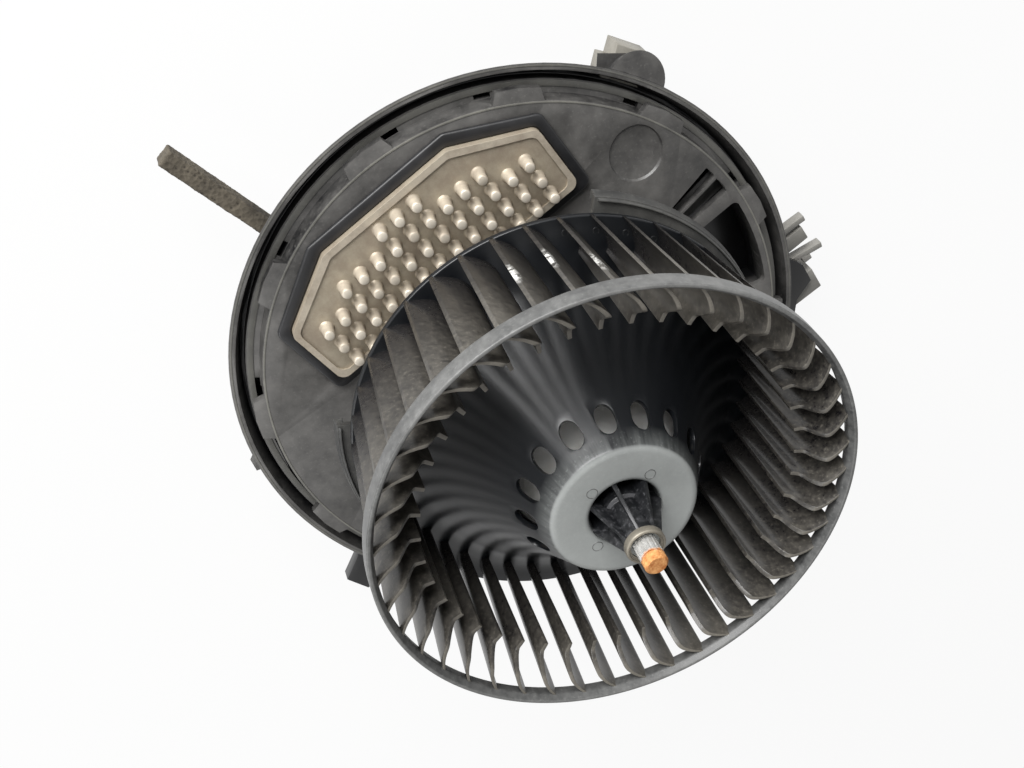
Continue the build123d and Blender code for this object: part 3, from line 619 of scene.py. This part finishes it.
# The finish of every CAD node
NODE_FINISHES = {
    "mounting_flange": flange_plastic, "motor_carrier": carrier_plastic, "regulator_cover": carrier_plastic,
    "fan_wheel": hub_plastic, "hub_ring": "phosphated_ring", "motor_shaft": rusty_shaft,
    "motor_can": "zinc_plated_steel_painted_sheen", "end_plate": "zinc_plated_steel_painted_sheen", "brush_springs": "zinc_plated_steel_painted_sheen",
    "carrier_screws": "zinc_plated_steel_painted_sheen", "regulator_screws": "zinc_plated_steel_painted_sheen",
    "front_bearing": "sintered_bronze", "rear_bearing": "sintered_bronze",
    "field_magnets": "sintered_ferrite", "armature_core": "electrical_sheet_steel",
    "windings": "enamelled_copper", "commutator": "enamelled_copper", "thrust_washers": "natural_nylon",
    "brush_card": "phenolic_card", "carbon_brushes": "electrographite",
    "rubber_mounts": "epdm_rubber", "heatsink_gasket": "epdm_rubber", "heatsink": cast_aluminium,
    "circuit_board": "glass_fibre_board", "power_transistors": "epoxy_package", "capacitors": "shrink_sleeve",
    "choke_coil": "lacquered_winding", "plug_housing": "polyamide_plug", "plug_pins": "tinned_brass",
    "foam_strip": open_cell_foam,
}
FINISHES = {}


def finish(what):
    """The material that a maker function gives, or the metal or plastic of that name, built once."""
    if what not in FINISHES:
        if what in METALS:
            FINISHES[what] = worn_metal(what, *METALS[what])
        elif what in PLASTICS:
            FINISHES[what] = plain_plastic(what, *PLASTICS[what])
        else:
            FINISHES[what] = what()
    return FINISHES[what]


def length_setting(name, description, default_mm):
    """A length that the user sets in Blender's units."""
    return bpy.props.FloatProperty(name=name, description=description, default=default_mm * MM,
                                   subtype="DISTANCE", unit="LENGTH")


class BlowerFanSettings(bpy.types.PropertyGroup):
    """Sizes of the fan wheel as it is dressed."""

    blade_count: bpy.props.IntProperty(name="Blades", description="Number of blades", default=43)
    first_blade: bpy.props.FloatProperty(
        name="First blade", description="Angle of the first blade's rim end, in degrees", default=6.8)
    blade_wall: length_setting("Blade wall", "Thickness of a blade at the rim", 1.3)
    hole_count: bpy.props.IntProperty(
        name="Hub holes", description="Number of oval holes in the cone", default=16)


class BlowerTrimSettings(bpy.types.PropertyGroup):
    """Sizes of the heatsink's pins, the foam strip and the softened edges."""

    pin_radius: length_setting("Pin radius", "Radius of a heatsink pin near its foot", 1.95)
    edge_round: length_setting("Edge rounding", "Rounding of the moulded edges", 0.35)
    foam_roughness: length_setting("Foam roughness", "How far the foam's torn cells stand proud", 0.35)


class BlowerStudioSettings(bpy.types.PropertyGroup):
    """Lamps, world and floor."""

    key_power: bpy.props.FloatProperty(
        name="Key lamp", description="Power of the key lamp in watts", default=19.0)
    fill_power: bpy.props.FloatProperty(
        name="Fill lamp", description="Power of the fill lamp in watts", default=3.0)
    world_level: bpy.props.FloatProperty(
        name="World level", description="Strength of the world's light", default=0.25)
    floor_colour: bpy.props.FloatVectorProperty(
        name="Floor colour", description="Colour of the studio floor", default=(0.50, 0.50, 0.49),
        subtype="COLOR", size=3, min=0.0, max=1.0)


class OBJECT_OT_blower_nodes(bpy.types.Operator):
    """Give every CAD node its finish and round its moulded edges"""

    bl_idname = "object.blower_nodes"
    bl_label = "Finish the CAD nodes"

    def execute(self, context):
        width = context.scene.blower_trim.edge_round / MM
        rounding = {"motor_carrier": width, "motor_can": 0.4, "regulator_cover": width, "hub_ring": 0.2,
                    "carrier_screws": 0.2}
        for name, what in NODE_FINISHES.items():
            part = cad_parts[name]
            part.data.materials.clear()
            part.data.materials.append(finish(what))
            if name in rounding:
                join_facets(part)
                bevel(part, rounding[name], 2, 30)
        return {"FINISHED"}


def hub_profile():
    """Section through the hub: disc, shoulder, cone, flare, back ring, inner wall and bored boss."""
    wall, bore = 2.0, SHAFT_RADIUS + 0.05
    return rounded([
        (11.0, DISC_HEIGHT, 1.8), (21.6, DISC_HEIGHT, 0.9), (23.0, 86.9, 1.0), (24.5, 83.6, 2.0),
        (31.0, 71.7, 0), (37.6, 61.5, 0), (44.7, 51.5, 6.0), (53.8, 41.8, 6.0), (62.0, 37.9, 4.0),
        (68.6, 37.6, 0.5), (68.6, WHEEL_LOW, 0.3), (57.6, WHEEL_LOW, 3.0), (50.2, 42.0, 4.0),
        (42.8, 50.4, 4.0), (22.6, 82.5, 2.0), (19.8, DISC_HEIGHT - wall, 1.0),
        (12.8, DISC_HEIGHT - wall, 0.5), (11.2, 75.2, 0.5), (bore, 75.2, 0), (bore, 102.6, 0),
        (5.2, 102.6, 0.2), (5.3, 87.6, 0.2), (6.5, 87.2, 0.25), (6.7, 77.0, 0.6), (9.6, 77.0, 0.8)], steps=5)


def hub_cutter(hole_count):
    """Oval cutters square to the cone's wall."""
    cutters = []
    for k in range(hole_count):
        angle = 11.1 + k * 360 / hole_count
        out = polar(1000, angle)
        normal = Vector((out.x * 0.846, out.y * 0.846, 0.533)).normalized()
        along = Vector((out.x * 0.533, out.y * 0.533, -0.846)).normalized()
        across = normal.cross(along)
        middle = polar(27.7, angle, 78.2)
        rings = []
        for depth in (-5.0, 5.0):
            ring = []
            for step in range(36):
                turn = math.tau * step / 36
                x = 0.6 * math.copysign(1, math.cos(turn)) + 4.1 * math.cos(turn)
                ring.append(middle + (along * x + across * 3.0 * math.sin(turn) + normal * depth) * MM)
            rings.append(ring)
        cutters.append(prism(f"cutter_{k}", rings))
    return joined("hub_cutter", cutters)


def along_line(line, place):
    """Value read off a line of points, softened over 1.6 mm on both sides."""
    total = 0.0
    for shift in (-1.6, -0.8, 0.0, 0.8, 1.6):
        for (x0, y0), (x1, y1) in zip(line, line[1:]):
            if place + shift <= x1 or (x1, y1) == line[-1]:
                total += y0 + (y1 - y0) * (place + shift - x0) / (x1 - x0)
                break
    return total / 5


# Blade's middle line as angles from its rim end, and its head as heights, both over the radius
BLADE_LINE = ((58.3, -4.4), (61.0, -4.7), (63.2, -5.2), (64.6, -5.3), (66.0, -4.9), (67.8, -4.0),
              (69.8, -2.7), (71.8, -1.1), (73.6, 0.8))
BLADE_HEADS = ((58.3, 81.0), (62.6, 81.4), (63.6, 82.2), (64.6, 87.0), (65.4, 88.6), (67.0, 89.1),
               (73.6, 89.7))


def blade_solid(name, inner, outer, wall, stations, levels):
    """Curved strip with a stepped head, which stands further in towards its foot at the same angles."""
    rings = []
    for k in range(stations + 1):
        share = k / stations
        place = inner + (outer - inner) * share
        head = along_line(BLADE_HEADS, place)
        angle = along_line(BLADE_LINE, place)
        left, right = [], []
        for level in range(levels + 1):
            height = BLADE_FOOT + (head - BLADE_FOOT) * level / levels
            inset = BLADE_INSET * (BLADE_HEAD - height) / (BLADE_HEAD - BLADE_FOOT)
            radius = place - inset * min(1.0, max(0.0, (place - inner) / 6.0))
            swing = math.degrees(wall * (0.60 - 0.12 * abs(2 * share - 1)) / radius)
            left.append(polar(radius, angle + swing, height))
            right.append(polar(radius, angle - swing, height))
        rings.append(left + right[::-1])
    return prism(name, rings)


def small_ring(name, radius, width, height, base, place):
    """Low round bead that stands upright about its own middle."""
    bead = lathe(name, [(radius - width, 0.0), (radius, 0.0), (radius - width * 0.2, height),
                        (radius - width * 0.8, height)], 24)
    bead.transform(Matrix.Translation(place + Vector((0, 0, base * MM))))
    return bead


class OBJECT_OT_blower_fan(bpy.types.Operator):
    """Build the moulded fan wheel with rounded hub, curved blades, rim ring and gussets"""

    bl_idname = "object.blower_fan"
    bl_label = "Dress the fan wheel"

    def execute(self, context):
        size = context.scene.blower_fan
        hub = new_object("wheel_hub", lathe("wheel_hub", hub_profile(), 192))
        cut_by(hub, [hub_cutter(size.hole_count)])
        bevel(hub, 0.3, 2, 38)
        bake(hub)
        dress(hub, finish(hub_plastic), "rotor", 40)
        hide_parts("fan_wheel")

        marks = [small_ring("ejector_mark", 1.75, 0.22, 0.07, DISC_HEIGHT, polar(14.0, angle))
                 for angle in (120, 41, -146)]
        mark = new_object("back_ring_mark", small_ring("mark", 1.2, 0.5, 0.35, 37.6, polar(64.0, 0)))
        back_marks = around("back_marks", mark, size.blade_count, size.first_blade - 0.8, finish(rim_plastic))
        ring = lathe("rim", rounded([
            (WHEEL_RADIUS, 85.6, 0.5), (WHEEL_RADIUS, 91.5, 0.6), (73.9, 91.5, 0.35), (72.6, 89.2, 0.6),
            (73.2, 85.6, 0.4)], steps=5), 256)
        rim = new_object("wheel_rim", joined("wheel_rim", [ring, back_marks, *marks]))
        dress(rim, finish(rim_plastic), "rotor")

        side_view = ((4.6, 76.6), (9.8, 76.6), (11.4, 86.9), (5.7, 101.8), (4.6, 101.8))
        gusset = new_object("gusset", prism("gusset", [
            [Vector((x, side * (0.75 if z < 90 else 0.5), z)) * MM for x, z in side_view]
            for side in (-1, 1)]))
        bevel(gusset, 0.2, 2, 40)
        gussets = around("gussets", gusset, 7, -11.6, finish(boss_plastic))
        boss = lathe("boss", rounded([
            (3.7, 75.4), (5.35, 75.4, 0), (6.8, 77.2, 0), (6.6, 87.3, 0.3), (5.4, 87.7, 0.2),
            (5.3, 102.5, 0.2), (3.7, 102.5, 0)]), 96)
        well = lathe("well", rounded([
            (6.7, 77.1, 0), (9.8, 77.1, 0.6), (11.15, 86.2, 0), (10.95, 86.3, 0), (9.5, 77.4, 0.6),
            (6.7, 77.4, 0)], 0.2), 96)
        core = new_object("wheel_boss", joined("wheel_boss", [gussets, boss, well]))
        dress(core, finish(boss_plastic), "rotor")

        blade = new_object("blade", blade_solid("blade", 58.4, 73.5, size.blade_wall / MM, 22, 10))
        bevel(blade, 0.3, 2, 60)
        bake(blade)
        blades = around("blades", blade, size.blade_count, size.first_blade, finish(blade_plastic))
        dress(new_object("wheel_blades", blades), finish(blade_plastic), "rotor")
        return {"FINISHED"}


class OBJECT_OT_blower_pins(bpy.types.Operator):
    """Build the heatsink's casting and stand round pins on its floor"""

    bl_idname = "object.blower_pins"
    bl_label = "Build the heatsink"

    def execute(self, context):
        foot = context.scene.blower_trim.pin_radius / MM
        low = SINK_FLOOR - 0.1
        tall = PIN_TIP - low
        master = new_object("pin", lathe("pin", [
            (0.01, 0.0), (foot + 0.5, 0.0), (foot + 0.12, 0.4), (foot - 0.02, 0.9), (foot - 0.24, tall - 0.6),
            (foot - 0.42, tall - 0.15), (foot - 0.70, tall), (0.01, tall)], 24))
        shade(master.data, 60)
        places = []
        for row, reach in enumerate((6, 6, 6, 4, 1)):
            for column in range(-reach, reach + 1):
                across, out = column * 6.52 - 0.2, 48.2 + row * 6.4
                turn = SINK_ANGLE + math.degrees(math.atan2(across, out))
                places.append(polar(math.hypot(out, across), turn, low))
        host = bpy.data.meshes.new("pin_places")
        host.from_pydata(places, [], [])
        mesh = grown("sink_pins", scatter_tree(), host, {
            "Piece": master, "Height spread": 0.05, "Lean": 0.02, "Finish": finish(cast_aluminium)})
        bpy.data.objects.remove(master)
        pins = new_object("sink_pins", mesh)
        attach(pins, "housing")

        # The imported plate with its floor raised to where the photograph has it, and its own pins sunk into it
        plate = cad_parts["heatsink"].data.copy()
        for vertex in plate.vertices:
            if abs(vertex.co.z / MM - SINK_PACKED_FLOOR) < 0.15:
                vertex.co.z = SINK_FLOOR * MM
            elif vertex.co.z > 9 * MM:
                vertex.co.z = (SINK_FLOOR - 0.01) * MM
        faces = [tuple(face.vertices) for face in plate.polygons]
        casting = new_object("sink_casting", mesh_from("sink_casting", [v.co for v in plate.vertices], faces))
        dress(casting, finish(cast_aluminium), "housing", 40)
        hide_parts("heatsink")
        return {"FINISHED"}


class OBJECT_OT_blower_foam(bpy.types.Operator):
    """Build the crumbly foam strip that has come loose"""

    bl_idname = "object.blower_foam"
    bl_label = "Build the foam strip"

    def execute(self, context):
        long, wide, low, high = 38.4, 5.4, -16.0, -10.0
        loose_end, seam = polar(126.1, 124.8).xy / MM, polar(96.7, 127.3).xy / MM
        way = (loose_end - seam).normalized()
        turn = math.degrees(math.atan2(way.y, way.x))
        middle = loose_end - way * long / 2
        strip = new_object("foam_sealing_strip", bar("foam", middle, long, wide, turn, low, high))
        remesh = strip.modifiers.new("Even cells", "REMESH")
        remesh.mode = "VOXEL"
        remesh.voxel_size = 0.45 * MM
        bake(strip)
        rough = bpy.data.textures.new("foam cells", "CLOUDS")
        rough.noise_scale = 1.5 * MM
        torn = strip.modifiers.new("Torn cells", "DISPLACE")
        torn.texture = rough
        torn.texture_coords = "LOCAL"
        torn.strength = context.scene.blower_trim.foam_roughness
        torn.mid_level = 0.75
        bake(strip)
        dress(strip, finish(open_cell_foam), "housing", 80)
        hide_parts("foam_strip")
        return {"FINISHED"}


class OBJECT_OT_blower_gasket(bpy.types.Operator):
    """Build the soft rubber frame round the heatsink"""

    bl_idname = "object.blower_gasket"
    bl_label = "Build the heatsink gasket"

    def execute(self, context):
        solid = bmesh.new()
        solid.from_mesh(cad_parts["heatsink_gasket"].data)
        bmesh.ops.remove_doubles(solid, verts=solid.verts, dist=1e-6)
        bmesh.ops.dissolve_limit(solid, angle_limit=math.radians(1), verts=solid.verts, edges=solid.edges)
        mesh = bpy.data.meshes.new("gasket_frame")
        solid.to_mesh(mesh)
        solid.free()
        for vertex in mesh.vertices:
            if vertex.co.z > 6 * MM:
                vertex.co.z = 5.7 * MM
        gasket = new_object("gasket_frame", mesh)
        bevel(gasket, 0.6, 3, 50)
        bake(gasket)
        dress(gasket, finish("epdm_rubber"), "housing", 50)
        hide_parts("heatsink_gasket")
        return {"FINISHED"}


class OBJECT_OT_blower_flange(bpy.types.Operator):
    """Build the flange with its slots cut through, its duct, beads, ear block, foot and wing"""

    bl_idname = "object.blower_flange"
    bl_label = "Dress the mounting flange"

    def execute(self, context):
        body = new_object("flange_body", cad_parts["mounting_flange"].data.copy())
        join_facets(body)
        bake(body)
        past_lip = LIP_RADIUS + 0.12
        cut_by(body, [sector("slot", SLOT_INNER, SLOT_OUTER, 21.6, 25.6, 0.2, 5.0),
                      sector("slot", SLOT_INNER, SLOT_OUTER, 26.4, 29.4, 0.2, 5.0),
                      sector("ear", past_lip, 112, 44, 66, -18.0, -4.25),
                      sector("foot", past_lip, 116, -157, -134, -15, -8),
                      sector("wing", past_lip, 116, -29, 1, -10.6, -7.2)])
        # The photograph shows nothing past the lip's own edge, so the wall below it draws in towards its foot
        for vertex in body.data.vertices:
            radius, drop = math.hypot(vertex.co.x, vertex.co.y) / MM, -vertex.co.z / MM
            if radius > 95.0 and drop > 2.5:
                share = 1 - (0.41 if radius > 97.0 else 0.30) * drop / radius
                vertex.co.x, vertex.co.y = vertex.co.x * share, vertex.co.y * share
        bevel(body, context.scene.blower_trim.edge_round / MM, 2, 30)
        bake(body)
        dress(body, finish(flange_plastic), "housing")
        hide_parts("mounting_flange")

        # Tray under the cooling opening: floor, outer wall and both end walls. Then the step under the slots
        # All of these lie below the plate, so the flange finish darkens them to black as painted shade
        wall_low, wall_high = DUCT_FLOOR + 1, 1.3
        sectors = ((DUCT_INNER, DUCT_OUTER, DUCT_START, DUCT_END, DUCT_FLOOR, DUCT_FLOOR + DUCT_WALL),
                   (DUCT_OUTER - 1.4, DUCT_OUTER, DUCT_START, DUCT_END, wall_low, wall_high),
                   (DUCT_INNER, DUCT_OUTER, DUCT_START, DUCT_START + 1.6, wall_low, wall_high),
                   (DUCT_INNER, DUCT_OUTER, DUCT_END - 1.6, DUCT_END, wall_low, wall_high),
                   (66, 87, 20.6, 26.0, -3.4, -1.4))
        duct = [sector("duct", *sizes) for sizes in sectors]
        # Ring that closes the pockets under the shelf from below, set low so that the flange finish paints it
        # black as shade
        backing = lathe("backing", [(88.0, -7.4), (93.0, -7.4), (93.0, -6.8), (88.0, -6.8)], 128)
        foot = slab("foot", [(LIP_WALL_FOOT, -151.5), (105.5, -149), (115.5, -147.8), (116.3, -143.1),
                             (106, -141.5), (LIP_WALL_FOOT, -139)], -14, -9)
        wing = slab("wing", [(LIP_WALL_FOOT, -3), (106.6, -9.4), (110.2, -13.2), (104.9, -17.1),
                             (104.8, -20.2), (LIP_WALL_FOOT, -24)], -10, -7.6)
        under = new_object("flange_duct", joined("flange_duct", [*duct, backing, foot, wing]))
        bevel(under, 0.25, 2, 40)
        bake(under)
        dress(under, finish(flange_plastic), "housing", 40)

        # Thin beads on the flange's edges and steps, in the lighter finish that paints their highlight lines
        beads = []
        for inner, outer, low, high in ((88.0, 88.6, 3.9, 4.15), (90.6, 92.5, -2.7, -2.3),
                                        (94.1, 94.7, -8.1, -6.9), (97.0, 97.5, -0.1, 0.12)):
            corners = [(outer, low), (outer, high), (inner, high), (inner, low)]
            beads.append(lathe("bead", rounded(corners, 0.12, 2), 256))
        rings = new_object("flange_beads", joined("flange_beads", beads))
        dress(rings, finish(edge_plastic_with_highlight), "housing", 50)

        blocks = []
        for start, end, reach in ((48.9, 55.2, 104.2), (55.0, 56.9, 99.3)):
            corners = [(93.9, start), (reach, start), (reach, end), (93.9, end)]
            blocks.append(slab("ear_block", corners, -14.1, -4.6 - (reach - 97.6) * 0.1))
        block = new_object("ear_block", joined("ear_block", blocks))
        bevel(block, 0.3, 2, 40)
        bake(block)
        dress(block, finish("pale_polyamide"), "housing", 40)

        # Steel disc under the hub's holes, in the near-white steel finish whose colour paints its sheen
        disc = lathe("can_cover", [(12.0, 64.2), (20.9, 64.2), (20.9, 65.04), (12.0, 65.04)], 96)
        cover = new_object("can_cover", disc)
        dress(cover, finish("zinc_plated_steel_painted_sheen"), "housing", 40)
        return {"FINISHED"}


class OBJECT_OT_blower_plug(bpy.types.Operator):
    """Build the plug socket with its pins, latch fingers and key block"""

    bl_idname = "object.blower_plug"
    bl_label = "Build the plug"

    def execute(self, context):
        turn, middle, root = 16.0, -16.1, Vector((90.0, -33.0))
        way = Vector((math.cos(math.radians(turn)), math.sin(math.radians(turn))))
        across = Vector((-way.y, way.x))
        box = bar("socket", root + way * 10.75, 21.5, 9.4, turn, middle - 6, middle + 6)
        socket = new_object("plug_socket", box)
        cut_by(socket, [bar("cavity", root + way * 19, 20, 6.6, turn, middle - 4.6, middle + 4.6)])
        latches = [bar("latch", place, long, wide, angle, -14, -10) for place, long, wide, angle in (
            ((103.5, -2.3), 13.5, 2.2, 14), ((104, -8), 11, 5.6, 18), ((106.5, -15.2), 17, 2.2, 6),
            ((108.2, -17), 3.5, 3, 16))]
        band = sector("band", LIP_WALL_FOOT, 100.8, -20, 6, -16, -9.9)
        socket.data = joined("plug_socket", [socket.data, *latches, band])
        bevel(socket, 0.3, 2, 40)
        bake(socket)
        dress(socket, finish("polyamide_plug"), "housing", 40)
        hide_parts("plug_housing")

        pins = [bar("pin", root + way * 11.5 + across * side, 5.5, 0.8, turn, level - 0.9, level + 0.9)
                for side in (-1.6, 1.6) for level in (middle - 2.0, middle + 2.0)]
        blades = new_object("plug_blades", joined("plug_blades", pins))
        dress(blades, finish("tinned_brass"), "housing", 40)
        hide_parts("plug_pins")
        return {"FINISHED"}


def area_lamp(name, place, aim, width, height, power):
    """Soft rectangular lamp aimed at a point, all in metres."""
    lamp = bpy.data.lights.new(name, "AREA")
    lamp.shape = "RECTANGLE"
    lamp.size, lamp.size_y = width, height
    lamp.energy = power
    holder = bpy.data.objects.new(name, lamp)
    holder.location = place
    holder.rotation_euler = (Vector(aim) - Vector(place)).to_track_quat("-Z", "Y").to_euler()
    bpy.context.scene.collection.objects.link(holder)
    return holder


class OBJECT_OT_blower_stage(bpy.types.Operator):
    """Set up the floor, the lamps, the world and the camera"""

    bl_idname = "object.blower_stage"
    bl_label = "Set up the studio"

    def execute(self, context):
        size = context.scene.blower_studio
        scene = context.scene
        scene.view_settings.view_transform = "Standard"

        floor_mesh = bpy.data.meshes.new("studio_floor")
        reach = 2.5
        level = REST_HEIGHT * MM - 0.0002
        floor_mesh.from_pydata([(x, y, level) for x, y in
                                ((-reach, -reach), (reach, -reach), (reach, reach), (-reach, reach))],
                               [], [(0, 1, 2, 3)])
        floor = new_object("studio_floor", floor_mesh)
        paper = bpy.data.materials.new("studio_paper")
        paper.use_nodes = True
        tree = paper.node_tree
        tree.nodes.clear()
        matt = add_node(tree, "ShaderNodeBsdfDiffuse", {"Color": (*size.floor_colour, 1.0)})
        glow = add_node(tree, "ShaderNodeEmission", {"Color": WHITE, "Strength": PAPER_GLOW})
        path = add_node(tree, "ShaderNodeLightPath").outputs
        seen = add_node(tree, MATH, {0: path["Is Camera Ray"], 1: path["Is Glossy Ray"]}, operation="ADD")
        seen = add_node(tree, MATH, {0: seen, 1: path["Is Transmission Ray"]}, operation="ADD",
                        use_clamp=True)
        share = add_node(tree, MATH, {0: seen, 1: PAPER_SHARE}, operation="MULTIPLY")
        both = add_node(tree, "ShaderNodeMixShader", {0: share, 1: matt, 2: glow})
        add_node(tree, "ShaderNodeOutputMaterial", {"Surface": both})
        floor_mesh.materials.append(paper)

        world = bpy.data.worlds.new("studio_world")
        world.use_nodes = True
        tree = world.node_tree
        tree.nodes.clear()
        dim, white = [add_node(tree, "ShaderNodeBackground", {"Color": WHITE, "Strength": strength})
                      for strength in (size.world_level, 1.0)]
        path = add_node(tree, "ShaderNodeLightPath").outputs
        seen = add_node(tree, MATH, {0: path["Is Camera Ray"], 1: path["Is Transmission Ray"]},
                        operation="ADD")
        seen = add_node(tree, MATH, {0: path["Is Glossy Ray"], 1: 0.6, 2: seen}, operation="MULTIPLY_ADD",
                        use_clamp=True)
        both = add_node(tree, "ShaderNodeMixShader", {0: seen, 1: dim, 2: white})
        add_node(tree, "ShaderNodeOutputWorld", {"Surface": both})
        scene.world = world

        area_lamp("key_lamp", (-0.16, 0.85, 0.35), (0, 0, 0.04), 0.8, 0.6, size.key_power)
        area_lamp("fill_lamp", (-0.75, -0.25, 0.55), (0, 0, 0.05), 0.6, 0.6, size.fill_power)

        # The photograph's view, from above the far side of the plate. The lens is cut off centre by its shift
        focal_px, middle_x, middle_y = 1140.857, 708.56, 562.98
        width_px, height_px = 1024, 768
        lens = bpy.data.cameras.new("camera")
        lens.sensor_width = 36
        lens.lens = focal_px / width_px * lens.sensor_width
        lens.shift_x = (width_px / 2 - middle_x) / width_px
        lens.shift_y = (middle_y - height_px / 2) / width_px
        lens.clip_start, lens.clip_end = 0.01, 20
        camera = bpy.data.objects.new("camera", lens)
        right = Vector((0.8899, -0.2160, 0.4018)).normalized()
        ahead = Vector((0.1196, -0.7394, -0.6625)).normalized()
        up = right.cross(ahead)
        turn = Matrix((right, up, -ahead)).transposed()
        camera.matrix_world = Matrix.Translation(Vector((-25.0, 232.16, 327.98)) * MM) @ turn.to_4x4()
        scene.collection.objects.link(camera)
        scene.camera = camera
        return {"FINISHED"}


class VIEW3D_PT_blower(bpy.types.Panel):
    """Sidebar panel that lists the blower's settings and steps"""

    bl_idname = "VIEW3D_PT_blower"
    bl_label = "Cabin blower"
    bl_space_type = "VIEW_3D"
    bl_region_type = "UI"
    bl_category = "Blower"

    def draw(self, context):
        for settings in (context.scene.blower_fan, context.scene.blower_trim, context.scene.blower_studio):
            box = self.layout.box()
            for name in settings.__annotations__:
                box.prop(settings, name)
        for step in STEPS:
            self.layout.operator(step.bl_idname)


STEPS = (OBJECT_OT_blower_nodes, OBJECT_OT_blower_fan, OBJECT_OT_blower_pins, OBJECT_OT_blower_foam,
         OBJECT_OT_blower_gasket, OBJECT_OT_blower_flange, OBJECT_OT_blower_plug, OBJECT_OT_blower_stage)
GROUPS = {"blower_fan": BlowerFanSettings, "blower_trim": BlowerTrimSettings,
          "blower_studio": BlowerStudioSettings}


def register():
    for kind in (*GROUPS.values(), *STEPS, VIEW3D_PT_blower):
        bpy.utils.register_class(kind)
    for name, group in GROUPS.items():
        setattr(bpy.types.Scene, name, bpy.props.PointerProperty(type=group))


def unregister():
    for name in GROUPS:
        delattr(bpy.types.Scene, name)
    for kind in (VIEW3D_PT_blower, *reversed(STEPS), *GROUPS.values()):
        bpy.utils.unregister_class(kind)


def main():
    register()
    bpy.ops.object.blower_nodes()
    bpy.ops.object.blower_fan()
    bpy.ops.object.blower_pins()
    bpy.ops.object.blower_foam()
    bpy.ops.object.blower_gasket()
    bpy.ops.object.blower_flange()
    bpy.ops.object.blower_plug()
    bpy.ops.object.blower_stage()


if __name__ == "__main__":
    main()
